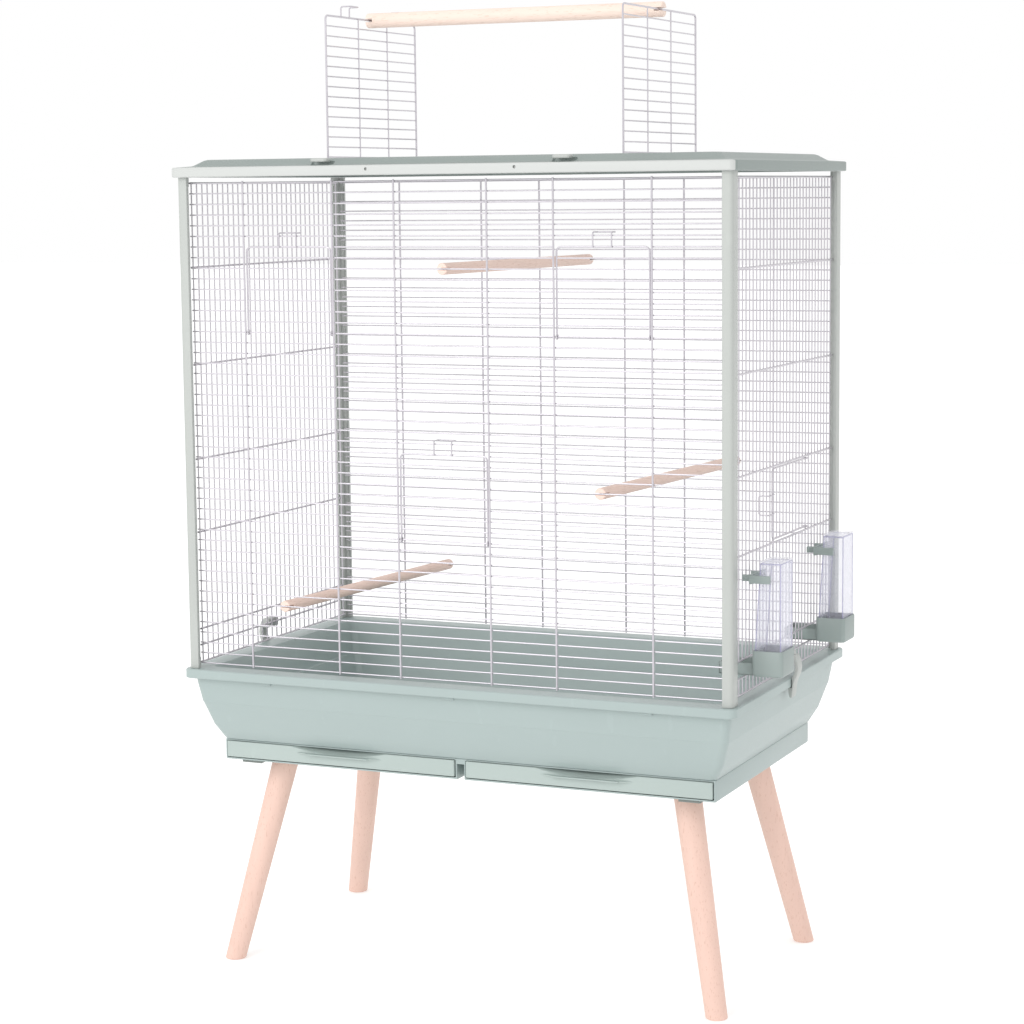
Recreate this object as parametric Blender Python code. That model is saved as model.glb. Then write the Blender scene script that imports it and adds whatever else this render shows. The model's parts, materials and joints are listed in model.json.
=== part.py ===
"""Bird cage on four splayed wooden legs. Metres, +Z up, +X to the right, -Y to the front.

The cage stands on the floor at z = 0. Everything hangs from one empty, which moves the cage sideways so that
the origin lies under the middle of the whole object, feeders included.
"""
import math

import bmesh
import bpy
from mathutils import Matrix, Vector

# Overall sizes
FEEDER_OUT = 0.4350            # outer face of the feeders
CLIP_OUT = 0.4025              # outer face of the tray clips
ORIGIN_SHIFT = (FEEDER_OUT - CLIP_OUT) / 2  # brings the origin under the middle of the whole object
GAP = 0.0003                   # between pieces that touch
RIM_X, RIM_Y = 0.3926, 0.2346  # half sizes of the tray's rim
RIM_TOP = 0.4110
RIM_HEIGHT = 0.0125
FASCIA_Z = 1.0690              # underside of the roof frame
FASCIA_HEIGHT = 0.0130
CROWN_TOP = 1.0920
POST_X, POST_Y = 0.3870, 0.2270
POST_WIDE, POST_DEEP, POST_WEB = 0.0140, 0.0200, 0.0066

# Wire panels
ROW_PITCH = 0.0140
ROW_COUNT = 47
ROW_TOP = 1.0614
PANEL_Y = 0.2147               # middle plane of the front and back wires
PANEL_X = 0.3782               # middle plane of the side wires
FINE = 0.0010                  # half thickness of a fine wire
HEAVY = 0.0015                 # half thickness of a heavy wire
DOOR_HALF = 0.0014             # half thickness of a door's wires
PANEL_END_X = 0.3755           # ends of the front wires, inside the posts
PANEL_END_Y = 0.2095
UPRIGHTS = (-0.2939, -0.1629, -0.0734, 0.0568, 0.1479, 0.2791)
SIDE_RAILS = (0.950, 0.820, 0.693, 0.594, 0.462, 0.440)
SIDE_PITCH = 0.0137
SIDE_COUNT = 31

# Doors: each front doorway lies between two uprights and two rows
DOORS = (("door_upper_left", 0, 6, 14), ("door_upper_right", 4, 6, 14), ("door_lower", 2, 25, 33))
SIDE_DOOR = (-0.0480, 0.0959, 0.594, 0.693)   # y front, y hinge, z low, z high
LATCH_RISE, LATCH_REACH, LATCH_HALF = 0.0180, 0.0140, 0.0125
LATCH_OUT = 0.0024             # from a door's middle plane to its latch loop's
DOOR_INSET = 0.0035            # from an upright to a door's leg
DOOR_FOOT = 0.0032             # from a hinge wire to a door's leg
DOOR_HEAD = 0.0012             # half thickness of a door's top wire
DOOR_END = 0.0008              # a leg goes this far past the top wire's middle
SIDE_DOOR_INSET = 0.0038
RING_INNER, SIDE_RING_INNER = 0.0019, 0.0023

# Stand
LEG_TOP_Z = 0.2812
LEG_TOP = (0.292, 0.131)
LEG_FOOT = (0.351, 0.184)
LEG_TOP_R, LEG_FOOT_R = 0.0180, 0.01375

# Housing and drawers under the tray
HOUSING_X, HOUSING_Y = 0.3535, 0.1935
HOUSING_Z = (0.2817, 0.3107)
WALL = 0.0025
PILLAR = 0.0140
DRAWER_BACK = 0.1800
LIP_HALF, LIP_REACH = 0.0360, 0.0075

# Roof
FLAP_X = 0.210                 # the flaps' hinges stand this far from the middle
FLAP_Y = 0.134
FLAP_HINGE_Z = 1.0800
FLAP_TOP_Z = 1.2790
FLAP_PITCH = 0.0132
FLAP_LATCH_Y = 0.0735
FLAP_LATCH_HALF, FLAP_LATCH_RISE = 0.0122, 0.0140
TOP_PERCH_R = 0.0100
TOP_PERCH_END = 0.2150
TOP_PERCH_SLOT = (0.0110, 0.0024)   # depth and half height of the slot in each end
ROOF_CLIP_X = (-0.1765, 0.1625)

PERCH_R = 0.0075
PERCH_SLOT = (0.0120, 0.0017)
# name, front x, back x, row
PERCHES = (
    ("perch_upper", -0.007, 0.020, 8), ("perch_middle", 0.208, 0.240, 28), ("perch_lower", -0.245, -0.206, 40),
)

FEEDERS = (("front", -0.1775), ("rear", 0.0905))
FEEDER_WIDE = 0.0520
CUP_BACK = 0.3945
TROUGH_INSET = 0.0070          # the trough is this much narrower than the cup at each end
RESERVOIR_BACKS = ((0.4640, 0.3970), (0.5860, 0.4045))   # z and back face x, at the foot and the top
RESERVOIR_FRONT = 0.4324

SAGE = (0.60, 0.70, 0.66)
PALE = (0.76, 0.79, 0.75)
BEECH = (0.88, 0.70, 0.60)
WIRE = (0.80, 0.79, 0.82)
CLEAR = (0.90, 0.90, 0.95)


def clear_scene():
    for obj in list(bpy.data.objects):
        bpy.data.objects.remove(obj, do_unlink=True)


clear_scene()
cage = bpy.data.collections.new("bird_cage_on_stand")
cutters = bpy.data.collections.new("cutters")
cutters.hide_render = True
bpy.context.scene.collection.children.link(cage)
bpy.context.scene.collection.children.link(cutters)
origin = bpy.data.objects.new("origin", None)
origin.location = (-ORIGIN_SHIFT, 0, 0)
cage.objects.link(origin)


def material(name, colour, roughness, metallic=0.0, alpha=1.0):
    """A Principled material."""
    mat = bpy.data.materials.new(name)
    mat.use_nodes = True
    shader = mat.node_tree.nodes["Principled BSDF"]
    shader.inputs["Base Color"].default_value = (*colour, 1)
    shader.inputs["Roughness"].default_value = roughness
    shader.inputs["Metallic"].default_value = metallic
    shader.inputs["Alpha"].default_value = alpha
    return mat


def node(name, bm, colour, roughness=0.45, metallic=0.0, at=(0, 0, 0), alpha=1.0):
    """An object of the cage, with its own material and its origin at the point named at."""
    mesh = bpy.data.meshes.new(name)
    bmesh.ops.translate(bm, vec=-Vector(at), verts=bm.verts)
    bmesh.ops.recalc_face_normals(bm, faces=bm.faces)
    bm.to_mesh(mesh)
    bm.free()
    obj = bpy.data.objects.new(name, mesh)
    obj.location = at
    obj.parent = origin
    cage.objects.link(obj)
    mesh.materials.append(material(name, colour, roughness, metallic, alpha))
    return obj


def box(low, high, bm=None):
    """A box between two corners, added to a bmesh."""
    bm = bm or bmesh.new()
    low, high = Vector(low), Vector(high)
    made = bmesh.ops.create_cube(bm, size=1.0)["verts"]
    bmesh.ops.scale(bm, vec=high - low, verts=made)
    bmesh.ops.translate(bm, vec=(low + high) / 2, verts=made)
    return bm


def boolean(obj, bm, operation):
    """Cut an object with a shape, or join the shape to it, and leave the result as the object's mesh."""
    mesh = bpy.data.meshes.new("tool")
    bmesh.ops.recalc_face_normals(bm, faces=bm.faces)
    bm.to_mesh(mesh)
    bm.free()
    helper = bpy.data.objects.new(obj.name + "_tool", mesh)
    helper.parent = origin
    helper.hide_render = True
    helper.display_type = "WIRE"
    cutters.objects.link(helper)
    modifier = obj.modifiers.new("cut", "BOOLEAN")
    modifier.operation = operation
    modifier.object = helper
    modifier.solver = "EXACT"
    bpy.context.view_layer.update()
    graph = bpy.context.evaluated_depsgraph_get()
    result = bpy.data.meshes.new_from_object(obj.evaluated_get(graph))
    obj.modifiers.clear()
    obj.data = result
    bpy.data.objects.remove(helper, do_unlink=True)


def rounded_loop(bm, half_x, half_y, z, radius, steps=3):
    """Points round a rectangle with round corners."""
    verts = []
    for quarter in range(4):
        sign_x = (1, -1, -1, 1)[quarter]
        sign_y = (1, 1, -1, -1)[quarter]
        for step in range(steps + 1):
            angle = math.pi / 2 * (quarter + step / steps)
            x = sign_x * (half_x - radius) + radius * math.cos(angle)
            y = sign_y * (half_y - radius) + radius * math.sin(angle)
            verts.append(bm.verts.new((x, y, z)))
    return verts


def loft(rings, steps=3, closed=False):
    """A skin through round-cornered rings (half x, half y, z, radius), with its ends capped or joined."""
    bm = bmesh.new()
    made = [rounded_loop(bm, *ring, steps=steps) for ring in rings]
    for one, two in zip(made, made[1:] + made[:1] if closed else made[1:]):
        skin(bm, one, two)
    if not closed:
        bm.faces.new(made[0])
        bm.faces.new(made[-1])
    return bm


def skin(bm, one, two):
    """Four-sided faces between two rings of the same number of points."""
    for here, there, far, near in zip(one, one[1:] + one[:1], two[1:] + two[:1], two):
        bm.faces.new((here, there, far, near))


def wire_boxes(rects, half):
    """Straight wires in the X-Z plane as separate boxes: each rect is (x low, x high, z low, z high)."""
    bm = bmesh.new()
    for x_low, x_high, z_low, z_high in rects:
        box((x_low, -half, z_low), (x_high, half, z_high), bm)
    return bm


def turn(bm, matrix):
    bmesh.ops.transform(bm, matrix=matrix, verts=bm.verts)
    return bm


def bar_x(z, half, low, high):
    return (low, high, z - half, z + half)


def bar_z(x, half, low, high):
    return (x - half, x + half, low, high)


def bent_wire(points, radius, cyclic=False):
    """A four-sided bent wire as a closed bmesh, made from a curve."""
    curve = bpy.data.curves.new("wire", "CURVE")
    curve.dimensions = "3D"
    curve.bevel_depth = radius
    curve.bevel_resolution = 0
    curve.use_fill_caps = True
    spline = curve.splines.new("POLY")
    spline.points.add(len(points) - 1)
    for point, place in zip(spline.points, points):
        point.co = (*place, 1)
    spline.use_cyclic_u = cyclic
    obj = bpy.data.objects.new("wire", curve)
    cutters.objects.link(obj)
    bpy.context.view_layer.update()
    graph = bpy.context.evaluated_depsgraph_get()
    mesh = bpy.data.meshes.new_from_object(obj.evaluated_get(graph))
    bm = bmesh.new()
    bm.from_mesh(mesh)
    bmesh.ops.remove_doubles(bm, verts=bm.verts, dist=0.00001)
    bpy.data.objects.remove(obj, do_unlink=True)
    return bm


def tube(start, end, radius_start, radius_end, sides=12):
    """A tapered rod between two points."""
    start, end = Vector(start), Vector(end)
    bm = bmesh.new()
    length = (end - start).length
    made = bmesh.ops.create_cone(
        bm, cap_ends=True, segments=sides, radius1=radius_start, radius2=radius_end, depth=length
    )["verts"]
    turned = (end - start).to_track_quat("Z", "Y").to_matrix().to_4x4()
    bmesh.ops.transform(bm, matrix=Matrix.Translation((start + end) / 2) @ turned, verts=made)
    return bm


def row_z(index):
    """Height of a row of the front and back panels, counted from the top."""
    return ROW_TOP - index * ROW_PITCH


def merge(parts):
    """One bmesh that holds several separate ones."""
    whole = bmesh.new()
    for part in parts:
        mesh = bpy.data.meshes.new("part")
        part.to_mesh(mesh)
        part.free()
        whole.from_mesh(mesh)
        bpy.data.meshes.remove(mesh)
    return whole


def grille(name, rows, rails, place, row_half=FINE, rail_half=HEAVY, at=(0, 0, 0)):
    """Crossing wires as one body: the rows are separate boxes until the rails join them."""
    bm = turn(wire_boxes(rows, row_half), place)
    obj = node(name, bm, WIRE, 0.3, 0.6, at=at)
    boolean(obj, turn(wire_boxes(rails, rail_half), place), "UNION")
    return obj


def staple(place_out, place_in, ends, radius=HEAVY):
    """A heavy wire that runs outside the fine ones and turns in at both ends. ends are (low, high) places."""
    low, high = ends
    return bent_wire([place_in(low), place_out(low), place_out(high), place_in(high)], radius)


def row_stops(index, doorways):
    """The stretches of one row, cut where it meets a doorway."""
    cuts = sorted(UPRIGHTS[first:first + 2] for _, first, top, low in doorways if top <= index < low)
    stops, start = [], -PANEL_END_X
    for left, right in cuts:
        stops.append((start, left))
        start = right
    return stops + [(start, PANEL_END_X)]


def front_panel(name, side, doorways):
    """The front or back wires: rows on a few rails, with the heavy uprights outside them."""
    bottom = row_z(ROW_COUNT - 1)
    rows = []
    for index in range(ROW_COUNT):
        half = HEAVY if index in (0, ROW_COUNT - 1) else FINE
        rows += [bar_x(row_z(index), half, *stop) for stop in row_stops(index, doorways)]
    rails = [bar_z(UPRIGHTS[2], HEAVY, bottom - 2 * HEAVY, ROW_TOP + 2 * HEAVY)]
    for _, first, top, low in doorways:
        for x in {UPRIGHTS[first], UPRIGHTS[first + 1]} - {UPRIGHTS[2]}:
            rails.append(bar_z(x, HEAVY, row_z(low) - 2 * HEAVY, row_z(top - 1) + 2 * HEAVY))
    place = Matrix.Translation((0, side * PANEL_Y, 0)) @ Matrix.Rotation(math.pi * (side > 0), 4, "Z")
    panel = grille(name, rows, rails, place)
    outside = side * (PANEL_Y + FINE + GAP + HEAVY)
    staples = []
    for x in UPRIGHTS[:2] + UPRIGHTS[3:]:
        place = x if side < 0 else -x
        staples.append(staple(
            lambda z, x=place: (x, outside, z), lambda z, x=place: (x, side * PANEL_Y, z), (bottom, ROW_TOP)
        ))
    boolean(panel, merge(staples), "UNION")
    return panel


def side_panel(name, side, doorway):
    """The left or right wires: fine uprights on one rail, with heavy rows outside them."""
    top, bottom = ROW_TOP, row_z(ROW_COUNT - 1)
    places = [(index - (SIDE_COUNT - 1) / 2) * SIDE_PITCH for index in range(SIDE_COUNT)]
    rows = []
    rails = [bar_x(z, HEAVY, -PANEL_END_Y, PANEL_END_Y) for z in (top, bottom)]
    for place in places:
        gaps = []
        if doorway and doorway[0] < place < doorway[1]:
            gaps.append(doorway[2:])
        if doorway:
            for _, start in FEEDERS:
                if start - 0.002 < place < start + FEEDER_WIDE + 0.002:
                    gaps.append((SIDE_RAILS[5], SIDE_RAILS[4]))
        low = bottom
        for gap_low, gap_high in sorted(gaps):
            rows.append(bar_z(place, FINE, low, gap_low))
            low = gap_high
        rows.append(bar_z(place, FINE, low, top))
    if doorway:
        y_front, y_back, z_low, z_high = doorway
        rails += [bar_x(z, HEAVY, y_front - 2 * SIDE_PITCH, y_back + SIDE_PITCH) for z in (z_low, z_high)]
        for _, start in FEEDERS:
            ends = (start - SIDE_PITCH, start + FEEDER_WIDE + SIDE_PITCH)
            rails += [bar_x(z, HEAVY, *ends) for z in SIDE_RAILS[4:]]
    place = Matrix.Translation((side * PANEL_X, 0, 0)) @ Matrix.Rotation(math.pi / 2, 4, "Z")
    panel = grille(name, rows, rails, place)
    outside = side * (PANEL_X + FINE + GAP + HEAVY)
    staples = []
    for z in SIDE_RAILS[:2] if doorway else SIDE_RAILS:
        staples.append(staple(
            lambda y, z=z: (outside, y, z), lambda y, z=z: (side * PANEL_X, y, z), (places[1], places[-2])
        ))
    boolean(panel, merge(staples), "UNION")
    return panel


def ring(centre, line, inner, thick=FINE, sides=8):
    """A small wire ring round a line."""
    centre, line = Vector(centre), Vector(line)
    across = Vector((1, 0, 0)) if line.z else Vector((0, 0, 1))
    points = []
    for step in range(sides):
        turned = Matrix.Rotation(2 * math.pi * step / sides, 3, line) @ across
        points.append(centre + turned * (inner + thick))
    return bent_wire(points, thick, cyclic=True)


def front_door(name, first, top, low):
    """A front door: an inverted U with its own rows, rings round the row below, and a latch loop."""
    left, right = UPRIGHTS[first] + DOOR_INSET, UPRIGHTS[first + 1] - DOOR_INSET
    hinge, head = row_z(low), row_z(top)
    legs = [bar_z(x, DOOR_HALF, hinge + DOOR_FOOT, head + DOOR_END) for x in (left, right)]
    rows = [bar_x(row_z(index), FINE, left, right) for index in range(top + 1, low)]
    rows.append(bar_x(head, DOOR_HEAD, left, right))
    middle = (left + right) / 2
    place = Matrix.Translation((0, -PANEL_Y, 0))
    door = grille(name, rows, legs, place, DOOR_HEAD, DOOR_HALF, at=(middle, -PANEL_Y, hinge))
    out = -PANEL_Y - LATCH_OUT
    start, end = row_z(top + 1), head + LATCH_RISE
    one, two = middle - LATCH_HALF, middle + LATCH_HALF
    reach = out + LATCH_REACH
    loop = bent_wire([
        (one, -PANEL_Y, start), (one, out, start), (one, out, end), (one, reach, end),
        (two, reach, end), (two, out, end), (two, out, start), (two, -PANEL_Y, start),
    ], FINE)
    rings = [ring((x, -PANEL_Y, hinge), (1, 0, 0), RING_INNER) for x in (left, right)]
    boolean(door, merge([loop] + rings), "UNION")
    return door


def side_door():
    """The right panel's door, hinged on the upright at its rear edge, with a latch loop at its front edge."""
    y_front, y_hinge, z_low, z_high = SIDE_DOOR
    front = y_front + DOOR_FOOT
    back = y_hinge - DOOR_FOOT
    low, high = z_low + SIDE_DOOR_INSET, z_high - SIDE_DOOR_INSET
    count = int((back - front) / SIDE_PITCH)
    bars = [bar_x(z, DOOR_HALF, front - DOOR_END, back) for z in (low, high)]
    wires = [bar_z(front, DOOR_HEAD, low, high)]
    wires += [bar_z(y_hinge - (k + 1) * SIDE_PITCH, FINE, low, high) for k in range(count)]
    place = Matrix.Translation((PANEL_X, 0, 0)) @ Matrix.Rotation(math.pi / 2, 4, "Z")
    middle = (low + high) / 2
    door = grille("side_door", wires, bars, place, DOOR_HEAD, DOOR_HALF, at=(PANEL_X, y_hinge, middle))
    out = PANEL_X + LATCH_OUT
    tip = front - LATCH_RISE
    start = y_hinge - (count - 1) * SIDE_PITCH
    one, two = middle - LATCH_HALF, middle + LATCH_HALF
    reach = out - LATCH_REACH
    loop = bent_wire([
        (PANEL_X, start, one), (out, start, one), (out, tip, one), (reach, tip, one),
        (reach, tip, two), (out, tip, two), (out, start, two), (PANEL_X, start, two),
    ], FINE)
    rings = [ring((PANEL_X, y_hinge, z), (0, 0, 1), SIDE_RING_INNER) for z in (low, high)]
    boolean(door, merge([loop] + rings), "UNION")
    return door


def corner_post(name, side_x, side_y):
    """A post with an L section: a front web and a side web, with the wires' ends in its inner corner."""
    low, high = RIM_TOP + GAP, FASCIA_Z - GAP
    outline = [(0, 0.004), (0.004, 0), (POST_WIDE, 0), (POST_WIDE, POST_WEB),
               (POST_WEB, POST_WEB), (POST_WEB, POST_DEEP), (0, POST_DEEP)]
    bm = bmesh.new()
    verts = [bm.verts.new((side_x * (POST_X - x), side_y * (POST_Y - y), low)) for x, y in outline]
    face = bm.faces.new(verts)
    risen = bmesh.ops.extrude_face_region(bm, geom=[face])["geom"]
    moved = [item for item in risen if isinstance(item, bmesh.types.BMVert)]
    bmesh.ops.translate(bm, vec=(0, 0, high - low), verts=moved)
    return node(name, bm, PALE, 0.5)


def tray():
    """The deep tray: a hull with a turned-out rim and a flat ledge that the posts stand on."""
    base = HOUSING_Z[1] + GAP
    under = RIM_TOP - RIM_HEIGHT
    hull = ((0.3510, 0.1930, base), (0.3623, 0.2035, 0.3315), (0.3749, 0.2165, 0.3637), (0.3826, 0.2250, 0.3920))
    hollow = ((0.3559, 0.1950, 0.3637), (0.3433, 0.1835, 0.3315), (0.3300, 0.1730, base + WALL))
    rings = [(x, y, z, 0.014) for x, y, z in hull]
    rings += [(0.3840, 0.2262, under, 0.010), (RIM_X, RIM_Y, under, 0.007), (RIM_X, RIM_Y, RIM_TOP, 0.007)]
    rings += [(0.3640, 0.2045, RIM_TOP, 0.010), (0.3600, 0.2005, 0.3950, 0.012)]
    rings += [(x, y, z, 0.014) for x, y, z in hollow]
    return node("tray", loft(rings), SAGE, 0.45)


def housing():
    """The drawer housing: a floor, side and back walls and a middle wall, open at the front."""
    low, high = HOUSING_Z
    obj = node("drawer_housing", loft([(HOUSING_X, HOUSING_Y, z, 0.006) for z in (low, high)]), SAGE, 0.5)
    for side in (-1, 1):
        left, right = sorted((side * PILLAR / 2, side * (HOUSING_X - WALL)))
        bay = box((left, -HOUSING_Y - WALL, low + WALL), (right, DRAWER_BACK + 2 * WALL, high - WALL))
        boolean(obj, bay, "DIFFERENCE")
    return obj


def drawer(name, side):
    """A shallow drawer with a tall front and a scooped lip to pull it by."""
    low, high = HOUSING_Z[0] + WALL + 2 * GAP, HOUSING_Z[1] - WALL - 2 * GAP
    inner, outer = PILLAR / 2 + 3 * GAP, HOUSING_X - WALL - 3 * GAP
    left, right = sorted((side * inner, side * outer))
    front = -HOUSING_Y - WALL
    obj = node(name, box((left, front, low), (right, DRAWER_BACK, high)), SAGE, 0.5)
    inside = box((left + WALL, front + 2 * WALL, low + WALL), (right - WALL, DRAWER_BACK - WALL, high + WALL))
    boolean(obj, inside, "DIFFERENCE")
    middle = (left + right) / 2
    lip_low, lip_high = high - 0.0100, high - 0.0076
    lip = box((middle - LIP_HALF, front - LIP_REACH, lip_low), (middle + LIP_HALF, front + WALL / 2, lip_high))
    boolean(obj, lip, "UNION")
    return obj


def leg(name, side_x, side_y):
    """A splayed, tapered leg, cut flat at the floor and at the housing."""
    top = Vector((side_x * LEG_TOP[0], side_y * LEG_TOP[1], LEG_TOP_Z))
    foot = Vector((side_x * LEG_FOOT[0], side_y * LEG_FOOT[1], 0))
    bm = tube(foot, top, LEG_FOOT_R, LEG_TOP_R, sides=16)
    for vert in bm.verts:
        level = LEG_TOP_Z if vert.co.z > LEG_TOP_Z / 2 else 0.0
        line = (top - foot) / LEG_TOP_Z
        vert.co += line * (level - vert.co.z)
    return node(name, bm, BEECH, 0.55)


def pad(name, side_x, side_y):
    """A small pad under a corner of the housing."""
    bm = loft([(0.0150, 0.0090, z, 0.004) for z in (HOUSING_Z[0] - 0.0040, HOUSING_Z[0] - GAP)], steps=2)
    return node(name, turn(bm, Matrix.Translation((side_x * 0.316, side_y * 0.179, 0))), SAGE, 0.5)


def roof_frame():
    """The roof's plastic frame: a fascia and a sloped crown, open in the middle for the wires."""
    top = FASCIA_Z + FASCIA_HEIGHT
    rings = [
        (0.3935, 0.2346, FASCIA_Z, 0.009), (0.3935, 0.2346, top, 0.009),
        (0.3740, 0.2150, top + 0.0015, 0.012), (0.3620, 0.2030, CROWN_TOP - 0.0012, 0.014),
        (0.3560, 0.1970, CROWN_TOP, 0.014),
        (0.3440, 0.1850, CROWN_TOP - 0.0010, 0.012), (0.3430, 0.1840, FASCIA_Z + 0.0060, 0.012),
        (0.3640, 0.2040, FASCIA_Z + 0.0060, 0.012), (0.3640, 0.2040, FASCIA_Z, 0.012),
    ]
    return node("roof_frame", loft(rings, closed=True), SAGE, 0.5)


def roof_panel():
    """The roof's wires, which run front to back on two rails, with an opening for the flaps."""
    half_x, half_y = 0.3420, 0.1815
    pitch = 0.0140
    edge = FLAP_Y + 0.006
    rails = [bar_x(y, HEAVY, -half_x, half_x) for y in (-edge, edge)]
    rows = []
    for index in range(-int(half_x / pitch), int(half_x / pitch) + 1):
        x = index * pitch
        if abs(x) < FLAP_X - 0.001:
            rows += [bar_z(x, FINE, -half_y, -edge), bar_z(x, FINE, edge, half_y)]
        else:
            rows.append(bar_z(x, FINE, -half_y, half_y))
    place = Matrix.Translation((0, 0, FLAP_HINGE_Z)) @ Matrix.Rotation(-math.pi / 2, 4, "X")
    return grille("roof_wires", rows, rails, place)


def roof_flap(name, side, latches):
    """A roof flap, shown standing up, with rings round the hinge wire and, on one flap, two latch loops."""
    x = side * FLAP_X
    rows = [FLAP_TOP_Z - index * FLAP_PITCH for index in range(1, 15)]
    foot = FLAP_HINGE_Z + DOOR_FOOT
    bars = [bar_x(FLAP_TOP_Z, DOOR_HEAD, -FLAP_Y, FLAP_Y)] + [bar_x(z, FINE, -FLAP_Y, FLAP_Y) for z in rows]
    sides = [bar_z(y, DOOR_HALF, foot, FLAP_TOP_Z + DOOR_END) for y in (-FLAP_Y, FLAP_Y)]
    place = Matrix.Translation((x, 0, 0)) @ Matrix.Rotation(math.pi / 2, 4, "Z")
    flap = grille(name, bars, sides, place, DOOR_HEAD, DOOR_HALF, at=(x, 0, FLAP_HINGE_Z))
    extras = [ring((x, y, FLAP_HINGE_Z), (0, 1, 0), RING_INNER) for y in (-FLAP_Y, FLAP_Y)]
    out = x - 2 * FINE - GAP
    for middle in latches:
        one, two = middle - FLAP_LATCH_HALF, middle + FLAP_LATCH_HALF
        end = FLAP_TOP_Z + FLAP_LATCH_RISE
        reach = out + LATCH_REACH
        extras.append(bent_wire([
            (x, one, rows[1]), (out, one, rows[1]), (out, one, end), (reach, one, end),
            (reach, two, end), (out, two, end), (out, two, rows[1]), (x, two, rows[1]),
        ], FINE))
    boolean(flap, merge(extras), "UNION")
    return flap


def perch(name, start, end, radius, slot, at):
    """A round wooden perch with a flat slot in each end, which clips over a wire."""
    depth, half = slot
    obj = node(name, tube(start, end, radius, radius, sides=16), BEECH, 0.55, at=at)
    line = (Vector(end) - Vector(start)).normalized()
    across = 2 * radius
    for tip, way in ((Vector(start), 1), (Vector(end), -1)):
        inner, outer = tip + line * way * depth, tip - line * way * depth / 2
        spread = Vector((across, 0, half)) if abs(line.y) > 0.5 else Vector((0, across, half))
        low = Vector([min(pair) for pair in zip(inner, outer)]) - spread
        high = Vector([max(pair) for pair in zip(inner, outer)]) + spread
        boolean(obj, box(low, high), "DIFFERENCE")
    return obj


def feeder(label, start):
    """A feeder: a cup with a trough inside the cage, a clear reservoir, its lid and its clip."""
    end = start + FEEDER_WIDE
    middle = (start + end) / 2
    cup_low, cup_high, trough_high = 0.4430, 0.4755, 0.4590
    trough = PANEL_X - 0.0290
    wall, floor = 0.0020, 0.0030
    cup = node(f"feeder_cup_{label}", box((CUP_BACK, start, cup_low), (FEEDER_OUT, end, cup_high)), SAGE, 0.45)
    overlap = 0.0005
    low = (trough, start + TROUGH_INSET, cup_low + overlap)
    high = (CUP_BACK + overlap, end - TROUGH_INSET, trough_high)
    boolean(cup, box(low, high), "UNION")
    inset = TROUGH_INSET + wall
    low, high = (trough + wall, start + inset, cup_low + floor), (FEEDER_OUT - wall, end - inset, trough_high + wall)
    boolean(cup, box(low, high), "DIFFERENCE")
    well = box((CUP_BACK + wall, start + wall, cup_low + floor), (FEEDER_OUT - wall, end - wall, cup_high + wall))
    boolean(cup, well, "DIFFERENCE")
    body = bmesh.new()
    half = FEEDER_WIDE / 2 - 0.0026
    rings = []
    for z, back in RESERVOIR_BACKS:
        sides = ((RESERVOIR_FRONT, half), (back, half), (back, -half), (RESERVOIR_FRONT, -half))
        rings.append([body.verts.new((x, middle + y, z)) for x, y in sides])
    skin(body, *rings)
    bmesh.ops.recalc_face_normals(body, faces=body.faces)
    bmesh.ops.solidify(body, geom=body.faces[:], thickness=0.0018)
    base, top = RESERVOIR_BACKS[0][0], RESERVOIR_BACKS[1][0]
    node(f"feeder_reservoir_{label}", body, CLEAR, 0.1, at=(0.4150, middle, base), alpha=0.3)
    lid = box((0.4035, start + 0.0020, top + GAP), (0.4334, end - 0.0020, top + 0.0022))
    lid_node = node(f"feeder_lid_{label}", lid, CLEAR, 0.1, at=(0.4150, middle, top), alpha=0.3)
    plug = half - 0.0035
    boolean(lid_node, box((0.4085, middle - plug, top - 0.0030), (0.4290, middle + plug, top + 0.0010)), "UNION")
    low, high = 0.5600, 0.5720
    plate = box((PANEL_X + 0.0030, start - 0.0040, low), (PANEL_X + 0.0068, end + 0.0010, high))
    clip = node(f"feeder_clip_{label}", plate, SAGE, 0.45)
    arm = box((PANEL_X + 0.0040, start - 0.0045, low + 0.0010), (0.4200, start - 0.0005, high - 0.0010))
    boolean(clip, arm, "UNION")
    return cup


def tray_clip(name, side):
    """An S-shaped lever that hangs from its bracket on the wires and hooks under the tray's rim."""
    pivot_x, pivot_z = 0.3962, 0.4385
    outline = [(0.3934, 0.4360), (0.3985, 0.4240), (0.3934, 0.4110), (0.3934, 0.3976), (0.3880, 0.3976),
               (0.3905, 0.3850), (0.3930, 0.3840), (0.3950, 0.3960), (0.3975, 0.4080), (CLIP_OUT, 0.4240),
               (0.3990, 0.4390), (0.3962, 0.4412)]
    bm = bmesh.new()
    face = bm.faces.new([bm.verts.new((side * x, -0.009, z)) for x, z in outline])
    risen = bmesh.ops.extrude_face_region(bm, geom=[face])["geom"]
    bmesh.ops.translate(bm, vec=(0, 0.018, 0), verts=[v for v in risen if isinstance(v, bmesh.types.BMVert)])
    node(name, bm, SAGE, 0.5, at=(side * pivot_x, 0, pivot_z))
    ends = sorted((side * (PANEL_X + 0.0048), side * (pivot_x - 0.0034)))
    bracket = box((ends[0], -0.014, pivot_z - 0.0065), (ends[1], 0.014, pivot_z + 0.0065))
    return node(name.replace("clip", "clip_bracket"), bracket, SAGE, 0.5)


def roof_clip(name, x, side):
    """A rounded tab in the crown that lifts at its outer edge to free the roof."""
    base = FASCIA_Z + FASCIA_HEIGHT + 0.0046
    levels = ((0.0125, 0.0075, 0.0000), (0.0125, 0.0075, 0.0036), (0.0100, 0.0050, 0.0050))
    bm = loft([(half_x, half_y, z, 0.0035) for half_x, half_y, z in levels])
    turn(bm, Matrix.Translation((x, side * 0.2190, base)))
    return node(name, bm, PALE, 0.5, at=(x, side * 0.2115, base))


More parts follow.
